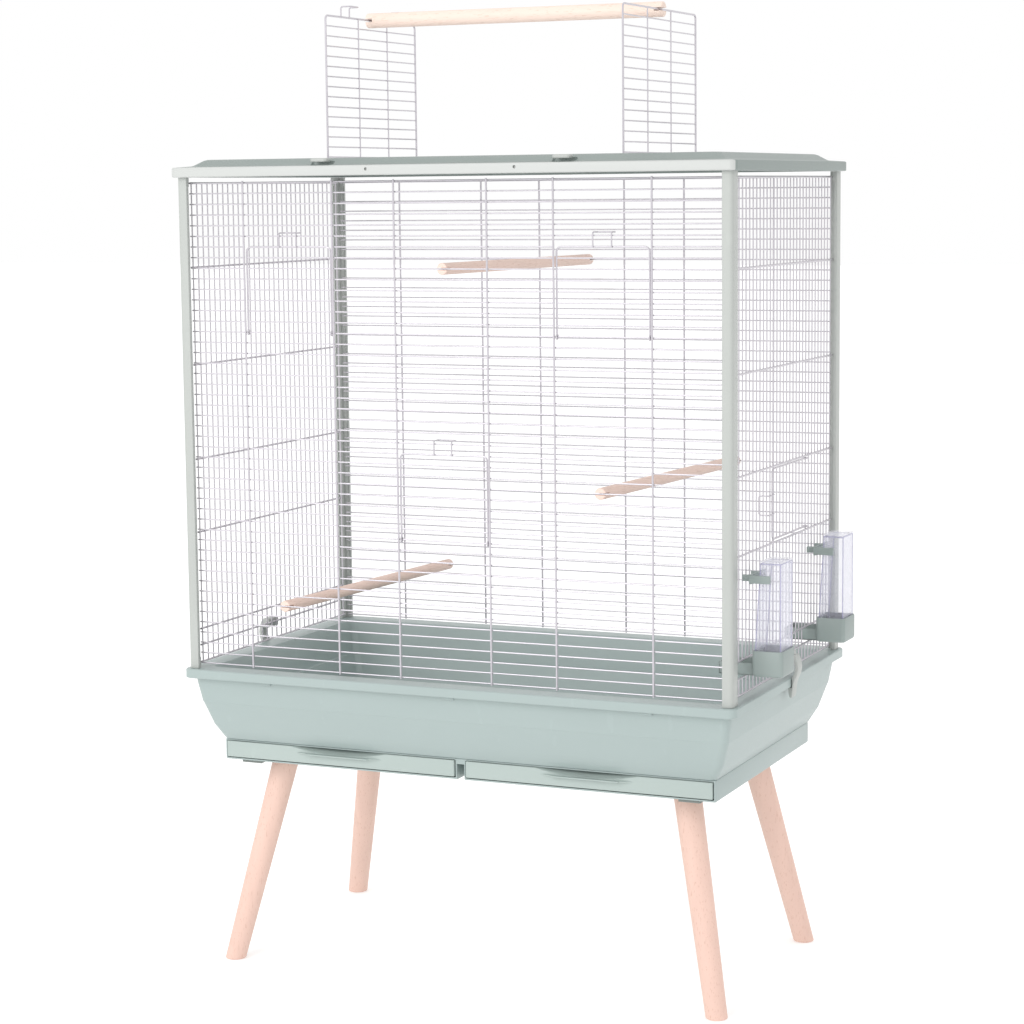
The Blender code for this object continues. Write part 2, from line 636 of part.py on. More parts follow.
def build():
    """Every sub-part, from the floor up."""
    corners = (("front_left", -1, -1), ("front_right", 1, -1), ("back_left", -1, 1), ("back_right", 1, 1))
    for label, side_x, side_y in corners:
        leg(f"leg_{label}", side_x, side_y)
        pad(f"pad_{label}", side_x, side_y)
        corner_post(f"post_{label}", side_x, side_y)
    housing()
    drawer("drawer_left", -1)
    drawer("drawer_right", 1)
    tray()
    front_panel("front_wires", -1, DOORS)
    front_panel("back_wires", 1, ())
    side_panel("left_wires", -1, None)
    side_panel("right_wires", 1, SIDE_DOOR)
    for name, first, top, low in DOORS:
        front_door(name, first, top, low)
    side_door()
    roof_frame()
    roof_panel()
    roof_flap("roof_flap_left", -1, (-FLAP_LATCH_Y, FLAP_LATCH_Y))
    roof_flap("roof_flap_right", 1, ())
    reach = PANEL_Y + FINE
    for name, x_front, x_back, row in PERCHES:
        start, end = (x_front, -reach, row_z(row)), (x_back, reach, row_z(row))
        perch(name, start, end, PERCH_R, PERCH_SLOT, start)
    ends = [(side * TOP_PERCH_END, 0, FLAP_TOP_Z) for side in (-1, 1)]
    perch("top_perch", *ends, TOP_PERCH_R, TOP_PERCH_SLOT, (-FLAP_X, 0, FLAP_TOP_Z))
    for label, start in FEEDERS:
        feeder(label, start)
    tray_clip("tray_clip_left", -1)
    tray_clip("tray_clip_right", 1)
    for x in ROOF_CLIP_X:
        side_name = "left" if x < 0 else "right"
        roof_clip(f"roof_clip_front_{side_name}", x, -1)
        roof_clip(f"roof_clip_back_{side_name}", x, 1)


build()
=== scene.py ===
"""Looks for the bird cage on its stand: round wires, moulded plastic, beech and clear feeders.

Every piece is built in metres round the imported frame. The cage's middle and levels are read from the frame's own
boxes, and each class holds the sizes of the pieces that it makes.
"""

from __future__ import annotations

import json
import logging
import math
from dataclasses import dataclass, field
from enum import Enum
from typing import Iterable, Sequence

import bmesh
import bpy
from mathutils import Matrix, Vector

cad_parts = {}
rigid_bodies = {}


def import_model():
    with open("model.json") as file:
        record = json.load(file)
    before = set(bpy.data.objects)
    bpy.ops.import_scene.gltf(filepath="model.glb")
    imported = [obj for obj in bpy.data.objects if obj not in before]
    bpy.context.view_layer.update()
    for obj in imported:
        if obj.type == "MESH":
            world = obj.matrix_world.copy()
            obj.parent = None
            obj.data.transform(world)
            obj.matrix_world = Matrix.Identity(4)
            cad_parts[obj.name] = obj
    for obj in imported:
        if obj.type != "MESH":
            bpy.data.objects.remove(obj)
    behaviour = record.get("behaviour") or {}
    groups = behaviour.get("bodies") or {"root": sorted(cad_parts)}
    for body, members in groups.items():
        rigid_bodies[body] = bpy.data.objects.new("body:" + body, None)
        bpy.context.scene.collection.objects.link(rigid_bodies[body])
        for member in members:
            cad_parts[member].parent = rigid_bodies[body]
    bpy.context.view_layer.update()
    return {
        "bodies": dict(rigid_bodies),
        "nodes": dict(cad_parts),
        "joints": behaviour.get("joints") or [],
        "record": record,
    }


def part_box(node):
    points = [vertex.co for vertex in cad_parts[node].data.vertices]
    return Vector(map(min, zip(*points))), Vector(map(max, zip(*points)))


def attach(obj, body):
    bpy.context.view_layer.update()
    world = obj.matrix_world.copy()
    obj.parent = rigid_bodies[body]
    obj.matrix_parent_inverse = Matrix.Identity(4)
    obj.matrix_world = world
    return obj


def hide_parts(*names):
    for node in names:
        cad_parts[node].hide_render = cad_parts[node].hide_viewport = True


LOG = logging.getLogger("bird_cage")
Point = tuple[float, float, float]
# A rectangle of a feeder: low x, high x, inset in y and height.
Flat = tuple[float, float, float, float]
# A rectangle of a loft: low x, high x, low y, high y and height.
Level = tuple[float, float, float, float, float]
# The body that every fixed piece rides on.
BODY = "cage"
# The way outwards in x and y at each corner.
CORNERS = {"front_left": (-1, -1), "front_right": (1, -1), "back_left": (-1, 1), "back_right": (1, 1)}
# Edges that turn by more degrees than this stay sharp.
SHARP = 35.0


class Axis(Enum):
    """A direction that a grain or a row of wires runs in."""

    X = (1.0, 0.0, 0.0)
    Y = (0.0, 1.0, 0.0)
    Z = (0.0, 0.0, 1.0)


class Slot(Enum):
    """The record's material slots."""

    SAGE = "sage_plastic"
    DRAWER = "drawer_plastic"
    PALE = "pale_plastic"
    BEECH = "beech"
    WIRE = "wire"
    CLEAR = "clear_plastic"


# ---------------------------------------------------------------- shader maths


class Value:
    """A number socket that takes part in sums; each sum adds its Math node."""

    def __init__(self, tree: bpy.types.NodeTree, socket: bpy.types.NodeSocket) -> None:
        """Hold the tree and the socket."""
        self.tree = tree
        self.socket = socket

    def _sum(self, operation: str, first: Value | float, second: Value | float) -> Value:
        """Add one Math node.

        Args:
            operation: the Math node's operation.
            first: its first value.
            second: its second value.

        Returns:
            The node's result.
        """
        node = self.tree.nodes.new("ShaderNodeMath")
        node.operation = operation
        for socket, value in zip(node.inputs, (first, second)):
            if isinstance(value, Value):
                self.tree.links.new(value.socket, socket)
            else:
                socket.default_value = value
        return Value(self.tree, node.outputs[0])

    def __add__(self, other: Value | float) -> Value:
        """self + other."""
        return self._sum("ADD", self, other)

    def __radd__(self, other: float) -> Value:
        """other + self."""
        return self._sum("ADD", other, self)

    def __sub__(self, other: Value | float) -> Value:
        """self - other."""
        return self._sum("SUBTRACT", self, other)

    def __rsub__(self, other: float) -> Value:
        """other - self."""
        return self._sum("SUBTRACT", other, self)

    def __mul__(self, other: Value | float) -> Value:
        """self * other."""
        return self._sum("MULTIPLY", self, other)

    def __rmul__(self, other: float) -> Value:
        """other * self."""
        return self._sum("MULTIPLY", other, self)

    def above(self, limit: float) -> Value:
        """1 where the value is over a limit, 0 elsewhere."""
        return self._sum("GREATER_THAN", self, limit)


class Shader:
    """One material's node tree, with a single method for every other node."""

    def __init__(self, name: str) -> None:
        """Start a material with its Principled shader."""
        self.material = bpy.data.materials.new(name)
        self.material.use_nodes = True
        self.tree = self.material.node_tree
        self.principled = self.tree.nodes["Principled BSDF"]

    def node(self, kind: str, settings: dict | None = None, **values: object) -> bpy.types.Node:
        """Add a node.

        Args:
            kind: the node's type.
            settings: the node's own properties, set before its sockets.
            values: socket values or links, by socket name with _ for a space.

        Returns:
            The new node.
        """
        made = self.tree.nodes.new(kind)
        for key, value in (settings or {}).items():
            setattr(made, key, value)
        for key, value in values.items():
            self.feed(made.inputs[key.replace("_", " ")], value)
        return made

    def feed(self, socket: bpy.types.NodeSocket, value: object) -> None:
        """Set a socket or link it to a value, node or socket."""
        if isinstance(value, Value):
            self.tree.links.new(value.socket, socket)
        elif isinstance(value, bpy.types.NodeSocket):
            self.tree.links.new(value, socket)
        elif isinstance(value, bpy.types.Node):
            self.tree.links.new(value.outputs[0], socket)
        else:
            socket.default_value = value

    def noise(self, scale: float, detail: float = 2.0, stretch: Point = (1.0, 1.0, 1.0)) -> Value:
        """Noise on Object coordinates.

        Args:
            scale: cells per metre.
            detail: octaves.
            stretch: scale along X, Y and Z.

        Returns:
            The noise, from 0 to 1.
        """
        place = self.node("ShaderNodeTexCoord").outputs["Object"]
        mapped = self.node("ShaderNodeMapping", Vector=place, Scale=stretch)
        made = self.node("ShaderNodeTexNoise", Vector=mapped, Scale=scale, Detail=detail)
        return Value(self.tree, made.outputs[0])

    def blend(self, mask: Value | float, first: object, second: object) -> bpy.types.NodeSocket:
        """Mix two colours by a mask."""
        made = self.node("ShaderNodeMix", {"data_type": "RGBA"})
        for index, value in ((0, mask), (6, first), (7, second)):
            self.feed(made.inputs[index], value)
        return made.outputs[2]

    def bump(self, height: Value, strength: float, distance: float) -> None:
        """Feed a height to the shader's normal."""
        made = self.node("ShaderNodeBump", Strength=strength, Distance=distance, Height=height)
        self.feed(self.principled.inputs["Normal"], made)

    def set(self, **values: object) -> None:
        """Feed the Principled shader's sockets by name."""
        for key, value in values.items():
            self.feed(self.principled.inputs[key.replace("_", " ")], value)


def tint(colour: Point, by: float) -> tuple[float, float, float, float]:
    """A colour made lighter or darker."""
    return tuple(min(1.0, channel * by) for channel in colour) + (1.0,)


@dataclass(frozen=True)
class MouldedPlastic:
    """Satin moulded plastic with a fine spark-eroded grain and faint flow marks."""

    name: str
    colour: Point
    roughness: float = 0.42
    grain: float = 0.35

    def base(self, shader: Shader) -> bpy.types.NodeSocket:
        """The plastic's own colour with its flow marks and scuffs."""
        flow = shader.noise(5.0, 3.0, (1.0, 1.0, 2.5))
        colour = shader.blend(flow, tint(self.colour, 0.955), tint(self.colour, 1.04))
        scuff = shader.noise(60.0, 4.0, (1.0, 1.0, 0.35)).above(0.66) * 0.35
        return shader.blend(scuff, colour, tint(self.colour, 1.07))

    def make(self) -> bpy.types.Material:
        """Build the material."""
        shader = Shader(self.name)
        fine = shader.noise(1400.0, 1.0)
        speck = shader.noise(320.0, 2.0)
        shader.set(Base_Color=self.base(shader), Roughness=speck * 0.14 + (self.roughness - 0.07))
        shader.set(IOR=1.5, Coat_Weight=0.06, Coat_Roughness=0.3)
        shader.bump(fine * 0.6 + speck * 0.4, self.grain, 0.00012)
        return shader.material


@dataclass(frozen=True)
class RoofPlastic(MouldedPlastic):
    """The roof's plastic, with painted light on the front strip of its fascia: that face is painted paler than the
    sides, as if lit.
    """

    # Painted light: the paler colour of the fascia's front face, for the light that falls on it; the sides keep
    # the crown's colour.
    painted_light_colour: Point = (0.50, 0.515, 0.50)
    painted_light_front_y: float = -0.2310

    def base(self, shader: Shader) -> bpy.types.NodeSocket:
        """The crown's colour behind the lit front strip, and the painted light colour before it."""
        place = shader.node("ShaderNodeTexCoord").outputs["Object"]
        depth = Value(shader.tree, shader.node("ShaderNodeSeparateXYZ", Vector=place).outputs["Y"])
        # Painted light: everything in front of this plane gets the paler lit colour.
        return shader.blend(depth.above(self.painted_light_front_y), tint(self.painted_light_colour, 1.0), super().base(shader))


@dataclass(frozen=True)
class BeechWood:
    """Pinkish beech with long grain and the short dark rays of the timber."""

    name: str
    colour: Point
    along: Axis

    def stretch(self, across: float, along: float) -> Point:
        """Scales that draw a pattern out along the grain."""
        return tuple(along if part else across for part in self.along.value)

    def make(self) -> bpy.types.Material:
        """Build the material."""
        shader = Shader(self.name)
        bands = shader.noise(60.0, 3.0, self.stretch(1.0, 0.05))
        fibre = shader.noise(900.0, 3.0, self.stretch(1.0, 0.03))
        rays = shader.noise(760.0, 1.0, self.stretch(1.0, 0.13)).above(0.665)
        knots = shader.noise(28.0, 2.0, self.stretch(1.0, 0.5))
        colour = shader.blend(bands, tint(self.colour, 0.91), tint(self.colour, 1.05))
        colour = shader.blend(fibre * 0.35, colour, tint(self.colour, 0.84))
        colour = shader.blend(knots.above(0.63) * 0.22, colour, tint(self.colour, 0.86))
        ray = tuple(channel * part for channel, part in zip(self.colour, (0.72, 0.60, 0.52)))
        colour = shader.blend(rays * 0.45, colour, (*ray, 1.0))
        shader.set(Base_Color=colour, Roughness=fibre * 0.2 + 0.44, IOR=1.46)
        shader.bump(fibre - rays * 0.8, 0.25, 0.00025)
        return shader.material


@dataclass(frozen=True)
class CoatedWire:
    """Steel wire under a thin satin coat, a little duller where it was dipped thick."""

    name: str
    colour: Point

    def make(self) -> bpy.types.Material:
        """Build the material."""
        shader = Shader(self.name)
        thick = shader.noise(45.0, 2.0)
        fine = shader.noise(2200.0, 1.0)
        shader.set(Base_Color=shader.blend(thick, tint(self.colour, 0.9), tint(self.colour, 1.06)))
        shader.set(Metallic=0.55, Roughness=thick * 0.12 + 0.26, Coat_Weight=0.25, Coat_Roughness=0.2)
        shader.bump(fine, 0.15, 0.00005)
        return shader.material


@dataclass(frozen=True)
class ClearPlastic:
    """Clear moulded plastic that looks denser and bluer where it is seen edge on."""

    name: str
    colour: Point
    least: float = 0.10

    def make(self) -> bpy.types.Material:
        """Build the material."""
        shader = Shader(self.name)
        edge = Value(shader.tree, shader.node("ShaderNodeLayerWeight", Blend=0.28).outputs["Facing"])
        haze = shader.noise(70.0, 3.0)
        shader.set(Base_Color=shader.blend(haze, tint(self.colour, 0.96), tint(self.colour, 1.05)))
        shader.set(Alpha=edge * 0.42 + haze * 0.04 + self.least, Roughness=haze * 0.06 + 0.05, IOR=1.49)
        return shader.material


@dataclass(frozen=True)
class Look:
    """A material and the record's slot that it follows."""

    material: bpy.types.Material
    slot: Slot


class Finishes:
    """Every finish of the cage, made once."""

    def __init__(self) -> None:
        """Make the materials."""
        self.sage = Look(MouldedPlastic("sage plastic", (0.275, 0.325, 0.312)).make(), Slot.SAGE)
        # The roof's finish paints the fascia's front face paler than its sides: painted light.
        self.roof = Look(RoofPlastic("roof plastic", (0.236, 0.276, 0.262)).make(), Slot.SAGE)
        self.tray = Look(MouldedPlastic("tray plastic", (0.345, 0.412, 0.402), 0.36).make(), Slot.SAGE)
        self.pale = Look(MouldedPlastic("pale plastic", (0.425, 0.445, 0.425), 0.45).make(), Slot.PALE)
        self.drawer = Look(MouldedPlastic("drawer plastic", (0.385, 0.450, 0.428), 0.40).make(), Slot.DRAWER)
        self.dark = Look(MouldedPlastic("shaded plastic", (0.190, 0.215, 0.200), 0.55).make(), Slot.SAGE)
        self.leg_wood = Look(BeechWood("leg beech", (0.79, 0.550, 0.465), Axis.Z).make(), Slot.BEECH)
        self.perch_wood = Look(BeechWood("perch beech", (0.82, 0.625, 0.545), Axis.Y).make(), Slot.BEECH)
        self.top_wood = Look(BeechWood("top perch beech", (0.86, 0.700, 0.610), Axis.X).make(), Slot.BEECH)
        self.wire = Look(CoatedWire("coated wire", (0.56, 0.535, 0.575)).make(), Slot.WIRE)
        self.clear = Look(ClearPlastic("clear plastic", (0.70, 0.70, 0.80)).make(), Slot.CLEAR)
        self.lid = Look(ClearPlastic("clear lid", (0.86, 0.86, 0.92), 0.16).make(), Slot.CLEAR)
        self.clear_edge = Look(ClearPlastic("clear plastic edge", (0.44, 0.43, 0.64), 0.40).make(), Slot.CLEAR)
        self.grip = Look(self.sage.material, Slot.PALE)


# ---------------------------------------------------------------- shapes


@dataclass
class Span:
    """A node's box at rest."""

    low: Vector
    high: Vector

    @classmethod
    def of(cls, node: str) -> Span:
        """Read a node's box from the frame."""
        low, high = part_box(node)
        return cls(Vector(low), Vector(high))

    @property
    def middle(self) -> Vector:
        """The box's centre."""
        return (self.low + self.high) / 2

    @property
    def half(self) -> Vector:
        """Half the box's size."""
        return (self.high - self.low) / 2


def linked(name: str, data: bpy.types.ID) -> bpy.types.Object:
    """Put a new object in the scene."""
    obj = bpy.data.objects.new(name, data)
    bpy.context.scene.collection.objects.link(obj)
    return obj


def points_in(items: Iterable[object]) -> list[bmesh.types.BMVert]:
    """The points among an operator's results."""
    return [item for item in items if isinstance(item, bmesh.types.BMVert)]


def edges_of(verts: Iterable[bmesh.types.BMVert]) -> list[bmesh.types.BMEdge]:
    """The edges that join a set of points to each other."""
    inside = set(verts)
    return [edge for edge in {e for v in inside for e in v.link_edges} if set(edge.verts) <= inside]


def turned_to(way: Vector) -> Matrix:
    """The turn that points Z along a way."""
    return way.to_track_quat("Z", "Y").to_matrix().to_4x4()


class Form:
    """A mesh in the making, shaped by bmesh operators."""

    def __init__(self) -> None:
        """Start empty."""
        self.bm = bmesh.new()

    def slab(self, low: Sequence[float], high: Sequence[float], bevel: float = 0.0, steps: int = 2) -> Form:
        """Add a box between two corners.

        Args:
            low: one corner.
            high: the opposite corner.
            bevel: width of its rounded edges.
            steps: segments in each rounded edge.

        Returns:
            The form, for chaining.
        """
        one, two = Vector(map(min, low, high)), Vector(map(max, low, high))
        verts = bmesh.ops.create_cube(self.bm, size=1.0)["verts"]
        bmesh.ops.scale(self.bm, vec=two - one, verts=verts)
        bmesh.ops.translate(self.bm, vec=(one + two) / 2, verts=verts)
        if bevel:
            self.soften(edges_of(verts), bevel, steps)
        return self

    def soften(self, edges: Iterable[bmesh.types.BMEdge], width: float, steps: int = 2) -> None:
        """Bevel edges round."""
        bmesh.ops.bevel(
            self.bm, geom=list(edges), offset=width, offset_type="OFFSET", segments=steps, profile=0.5,
            affect="EDGES", material=-1, clamp_overlap=True,
        )

    def sharp(self, angle: float) -> list[bmesh.types.BMEdge]:
        """The edges that turn by more than an angle in radians."""
        return [edge for edge in self.bm.edges if edge.is_manifold and edge.calc_face_angle(0.0) > angle]

    def tall(self, rise: float = 0.1) -> list[bmesh.types.BMEdge]:
        """The edges that rise by more than a height."""
        return [edge for edge in self.bm.edges if abs(edge.verts[0].co.z - edge.verts[1].co.z) > rise]

    def outwards(self) -> None:
        """Turn every face outwards."""
        bmesh.ops.recalc_face_normals(self.bm, faces=self.bm.faces)

    def mesh(self, name: str) -> bpy.types.Mesh:
        """End the form as a mesh."""
        mesh = bpy.data.meshes.new(name)
        self.bm.to_mesh(mesh)
        self.bm.free()
        return mesh

    def rod(self, start: Sequence[float], end: Sequence[float], radius: float, sides: int = 8,
            end_radius: float | None = None) -> None:
        """Add a straight round rod.

        Args:
            start: centre of one end.
            end: centre of the other.
            radius: radius at the start.
            sides: facets round it.
            end_radius: radius at the end, if it tapers.
        """
        start, end = Vector(start), Vector(end)
        bmesh.ops.create_cone(
            self.bm, cap_ends=True, segments=sides, radius1=radius, radius2=end_radius or radius,
            depth=(end - start).length, matrix=Matrix.Translation((start + end) / 2) @ turned_to(end - start),
        )

    def circle(self, centre: Vector, way: Vector, radius: float, sides: int = 8) -> list[bmesh.types.BMEdge]:
        """Add the round section of a wire, square to its way, and give its edges."""
        place = Matrix.Translation(centre) @ turned_to(way)
        return edges_of(bmesh.ops.create_circle(self.bm, segments=sides, radius=radius, matrix=place)["verts"])

    def ring(self, centre: Sequence[float], axis: Sequence[float], radius: float, thick: float) -> None:
        """Add a closed ring of round wire about an axis."""
        centre, axis = Vector(centre), Vector(axis)
        across = axis.orthogonal().normalized()
        bmesh.ops.spin(
            self.bm, geom=self.circle(centre + across * radius, axis.cross(across), thick), cent=centre, axis=axis,
            angle=2 * math.pi, steps=14, use_merge=True, use_duplicate=False,
        )

    def bent(self, points: Sequence[Sequence[float]], radius: float, bend: float) -> None:
        """Add a round wire that runs through corners with a round bend at each.

        Args:
            points: the corners, and the two ends.
            radius: the wire's radius.
            bend: radius of each bend, at the wire's centre.
        """
        stops = [Vector(point) for point in points]
        ways = [(b - a).normalized() for a, b in zip(stops, stops[1:])]
        here = stops[0]
        start = ring = self.circle(here, ways[0], radius)
        for corner, way, then in zip(stops[1:], ways, ways[1:]):
            angle = way.angle(then)
            setback = bend * math.tan(angle / 2)
            bend_start = corner - way * setback
            ring = self._drawn(ring, bend_start - here)
            axis = way.cross(then).normalized()
            centre = bend_start + axis.cross(way).normalized() * bend
            swept = bmesh.ops.spin(
                self.bm, geom=ring, cent=centre, axis=axis, angle=angle, steps=5, use_duplicate=False
            )
            ring = edges_of(points_in(swept["geom_last"]))
            here = corner + then * setback
        ring = self._drawn(ring, stops[-1] - here)
        bmesh.ops.holes_fill(self.bm, edges=start + ring, sides=8)

    def _drawn(self, ring: list[bmesh.types.BMEdge], way: Vector) -> list[bmesh.types.BMEdge]:
        """Extrude a ring of edges along a vector."""
        verts = points_in(bmesh.ops.extrude_edge_only(self.bm, edges=ring)["geom"])
        bmesh.ops.translate(self.bm, vec=way, verts=verts)
        return edges_of(verts)

    def latch(self, across: tuple[float, float], depth: tuple[float, float], along: tuple[float, float],
              axes: str, radius: float, bend: float) -> None:
        """Add a latch loop: up from its wire, over the next one, across and back.

        Args:
            across: its two sides.
            depth: its plane and its tip.
            along: its foot and its top.
            axes: the axes that across, depth and along run on, such as "XYZ".
            radius: the wire's radius.
            bend: radius of each bend.
        """
        (one, two), (out, tip), (low, top) = across, depth, along
        path = ((one, out, low), (one, out, top), (one, tip, top),
                (two, tip, top), (two, out, top), (two, out, low))
        self.bent([[spot[axes.index(axis)] for axis in "XYZ"] for spot in path], radius, bend)

    def plate(self, low: tuple[float, float], high: tuple[float, float], z: float, radius: float,
              steps: int) -> bmesh.types.BMFace:
        """Add a flat rectangle with round corners.

        Args:
            low: its lowest x and y.
            high: its highest x and y.
            z: its height.
            radius: radius of its corners.
            steps: facets in each corner.

        Returns:
            Its face.
        """
        verts = []
        for index in range(4):
            corner_x = high[0] - radius if index in (0, 3) else low[0] + radius
            corner_y = high[1] - radius if index < 2 else low[1] + radius
            for step in range(steps + 1):
                turn = math.pi / 2 * (index + step / steps)
                spot = (corner_x + radius * math.cos(turn), corner_y + radius * math.sin(turn), z)
                verts.append(self.bm.verts.new(spot))
        return self.bm.faces.new(verts)

    def loft(self, levels: Sequence[Level], radius: float) -> Form:
        """Add a closed solid of rounded rectangles, each drawn out of the one before.

        Args:
            levels: low x, high x, low y, high y and height of each rectangle in turn.
            radius: corner radius of the first.

        Returns:
            The form, for chaining.
        """
        low_x, high_x, low_y, high_y, z = levels[0]
        face = self.plate((low_x, low_y), (high_x, high_y), z, radius, 6)
        for old, new in zip(levels, levels[1:]):
            covered = face
            out = bmesh.ops.extrude_face_region(self.bm, geom=[face])["geom"]
            face = next(item for item in out if isinstance(item, bmesh.types.BMFace))
            if old is not levels[0] and covered.is_valid:
                bmesh.ops.delete(self.bm, geom=[covered], context="FACES_ONLY")
            verts = list(face.verts)
            old_middle = Vector((old[0] + old[1], old[2] + old[3], 0.0)) / 2
            new_middle = Vector((new[0] + new[1], new[2] + new[3], 0.0)) / 2
            grown = ((new[1] - new[0]) / (old[1] - old[0]), (new[3] - new[2]) / (old[3] - old[2]), 1.0)
            bmesh.ops.scale(self.bm, vec=grown, space=Matrix.Translation(-old_middle), verts=verts)
            moved = new_middle - old_middle + Vector((0.0, 0.0, new[4] - old[4]))
            bmesh.ops.translate(self.bm, vec=moved, verts=verts)
        return self

    def stack(self, levels: Iterable[Point], radius: float, centre: Vector) -> Form:
        """Add a closed solid of centred rounded rectangles: half width, half depth and height of each in turn."""
        x, y = centre.x, centre.y
        return self.loft([(x - wide, x + wide, y - deep, y + deep, z) for wide, deep, z in levels], radius)

    def outline(self, points: Sequence[Point], draw: Sequence[float]) -> Form:
        """Add a flat outline drawn into a solid along a vector."""
        face = self.bm.faces.new([self.bm.verts.new(point) for point in points])
        out = bmesh.ops.extrude_face_region(self.bm, geom=[face])["geom"]
        bmesh.ops.translate(self.bm, vec=draw, verts=points_in(out))
        return self

    def moved(self, matrix: Matrix) -> Form:
        """Transform everything made so far."""
        bmesh.ops.transform(self.bm, matrix=matrix, verts=self.bm.verts)
        return self


class Maker:
    """Turns forms into finished pieces that ride on the frame."""

    def __init__(self, frame: dict, looks: Finishes) -> None:
        """Keep the frame and the finishes, and count the pieces."""
        self.frame = frame
        self.looks = looks
        self.made: list[str] = []

    def piece(self, form: Form, node: str, ending: str, look: Look, body: str | None = None,
              smooth: float = SHARP) -> bpy.types.Object:
        """Finish a visible piece of a node.

        Args:
            form: its shape.
            node: the frame's node that it stands for.
            ending: what its name adds to the node's.
            look: its finish.
            body: the body that it rides on, if not the node's own.
            smooth: edges sharper than this many degrees stay sharp.

        Returns:
            The object.
        """
        name = f"{node}_{ending}"
        form.outwards()
        mesh = form.mesh(name)
        mesh.materials.append(look.material)
        mesh.shade_smooth()
        mesh.set_sharp_from_angle(angle=math.radians(smooth))
        obj = linked(name, mesh)
        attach(obj, body or node)
        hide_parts(node)
        self.made.append(name)
        LOG.info("%s: %d faces", name, len(mesh.polygons))
        return obj

    def cut(self, obj: bpy.types.Object, form: Form) -> None:
        """Take a shape out of a finished piece, and keep the result as its mesh."""
        form.outwards()
        cutter = linked("cutter", form.mesh("cutter"))
        modifier = obj.modifiers.new("cut", "BOOLEAN")
        modifier.operation = "DIFFERENCE"
        modifier.object = cutter
        bpy.context.view_layer.update()
        result = bpy.data.meshes.new_from_object(obj.evaluated_get(bpy.context.evaluated_depsgraph_get()))
        obj.modifiers.clear()
        obj.data = result
        result.shade_smooth()
        result.set_sharp_from_angle(angle=math.radians(SHARP))
        bpy.data.objects.remove(cutter, do_unlink=True)


@dataclass
class WireSizes:
    """The wires' sizes, shared by every panel, door and flap."""

    fine: float = 0.00095
    heavy: float = 0.0014
    pitch: float = 0.0140
    side_pitch: float = 0.0137
    rows: int = 47
    side_wires: int = 31
    weld: float = 0.0003
    loop: float = 0.0010
    uprights: tuple[float, ...] = (-0.2939, -0.1629, -0.0734, 0.0568, 0.1479, 0.2791)
    side_rails: tuple[float, ...] = (0.950, 0.820, 0.693, 0.594, 0.462, 0.440)

    @property
    def outside(self) -> float:
        """How far a heavy wire's centre stands outside the fine wires' centres."""
        return self.fine + self.heavy - self.weld

    @property
    def side_hinge(self) -> float:
        """The side door's hinge line, on the seventh wire behind the middle."""
        return 7 * self.side_pitch


@dataclass
class Doorway:
    """A front doorway: the upright on its left, and the rows above and below it."""

    node: str
    first: int
    top: int
    low: int


DOORWAYS = (
    Doorway("door_upper_left", 0, 6, 14),
    Doorway("door_upper_right", 4, 6, 14),
    Doorway("door_lower", 2, 25, 33),
)


@dataclass
class Cage:
    """The levels and planes that every piece is built from, read from the frame."""

    sizes: WireSizes = field(default_factory=WireSizes)
    bar: float = 0.0015

    def __post_init__(self) -> None:
        """Read the frame's boxes; bar is half the width of the frame's heavy wires."""
        front = Span.of("front_wires")
        self.centre = Span.of("tray").middle.x
        self.front_y = front.high.y - self.bar
        self.back_y = Span.of("back_wires").low.y + self.bar
        self.left_x = Span.of("left_wires").high.x - self.bar
        self.right_x = Span.of("right_wires").low.x + self.bar
        self.row_top = front.high.z - 2 * self.bar

    def x(self, offset: float) -> float:
        """A place measured from the cage's middle."""
        return self.centre + offset

    def row(self, index: float) -> float:
        """The height of a row of the front and back panels."""
        return self.row_top - index * self.sizes.pitch


@dataclass
class Assembly:
    """A sub-assembly, built from the cage's levels and finished by the maker."""

    cage: Cage
    maker: Maker

    @property
    def looks(self) -> Finishes:
        """The finishes."""
        return self.maker.looks

    @property
    def sizes(self) -> WireSizes:
        """The wires' sizes."""
        return self.cage.sizes


# ---------------------------------------------------------------- wire panels


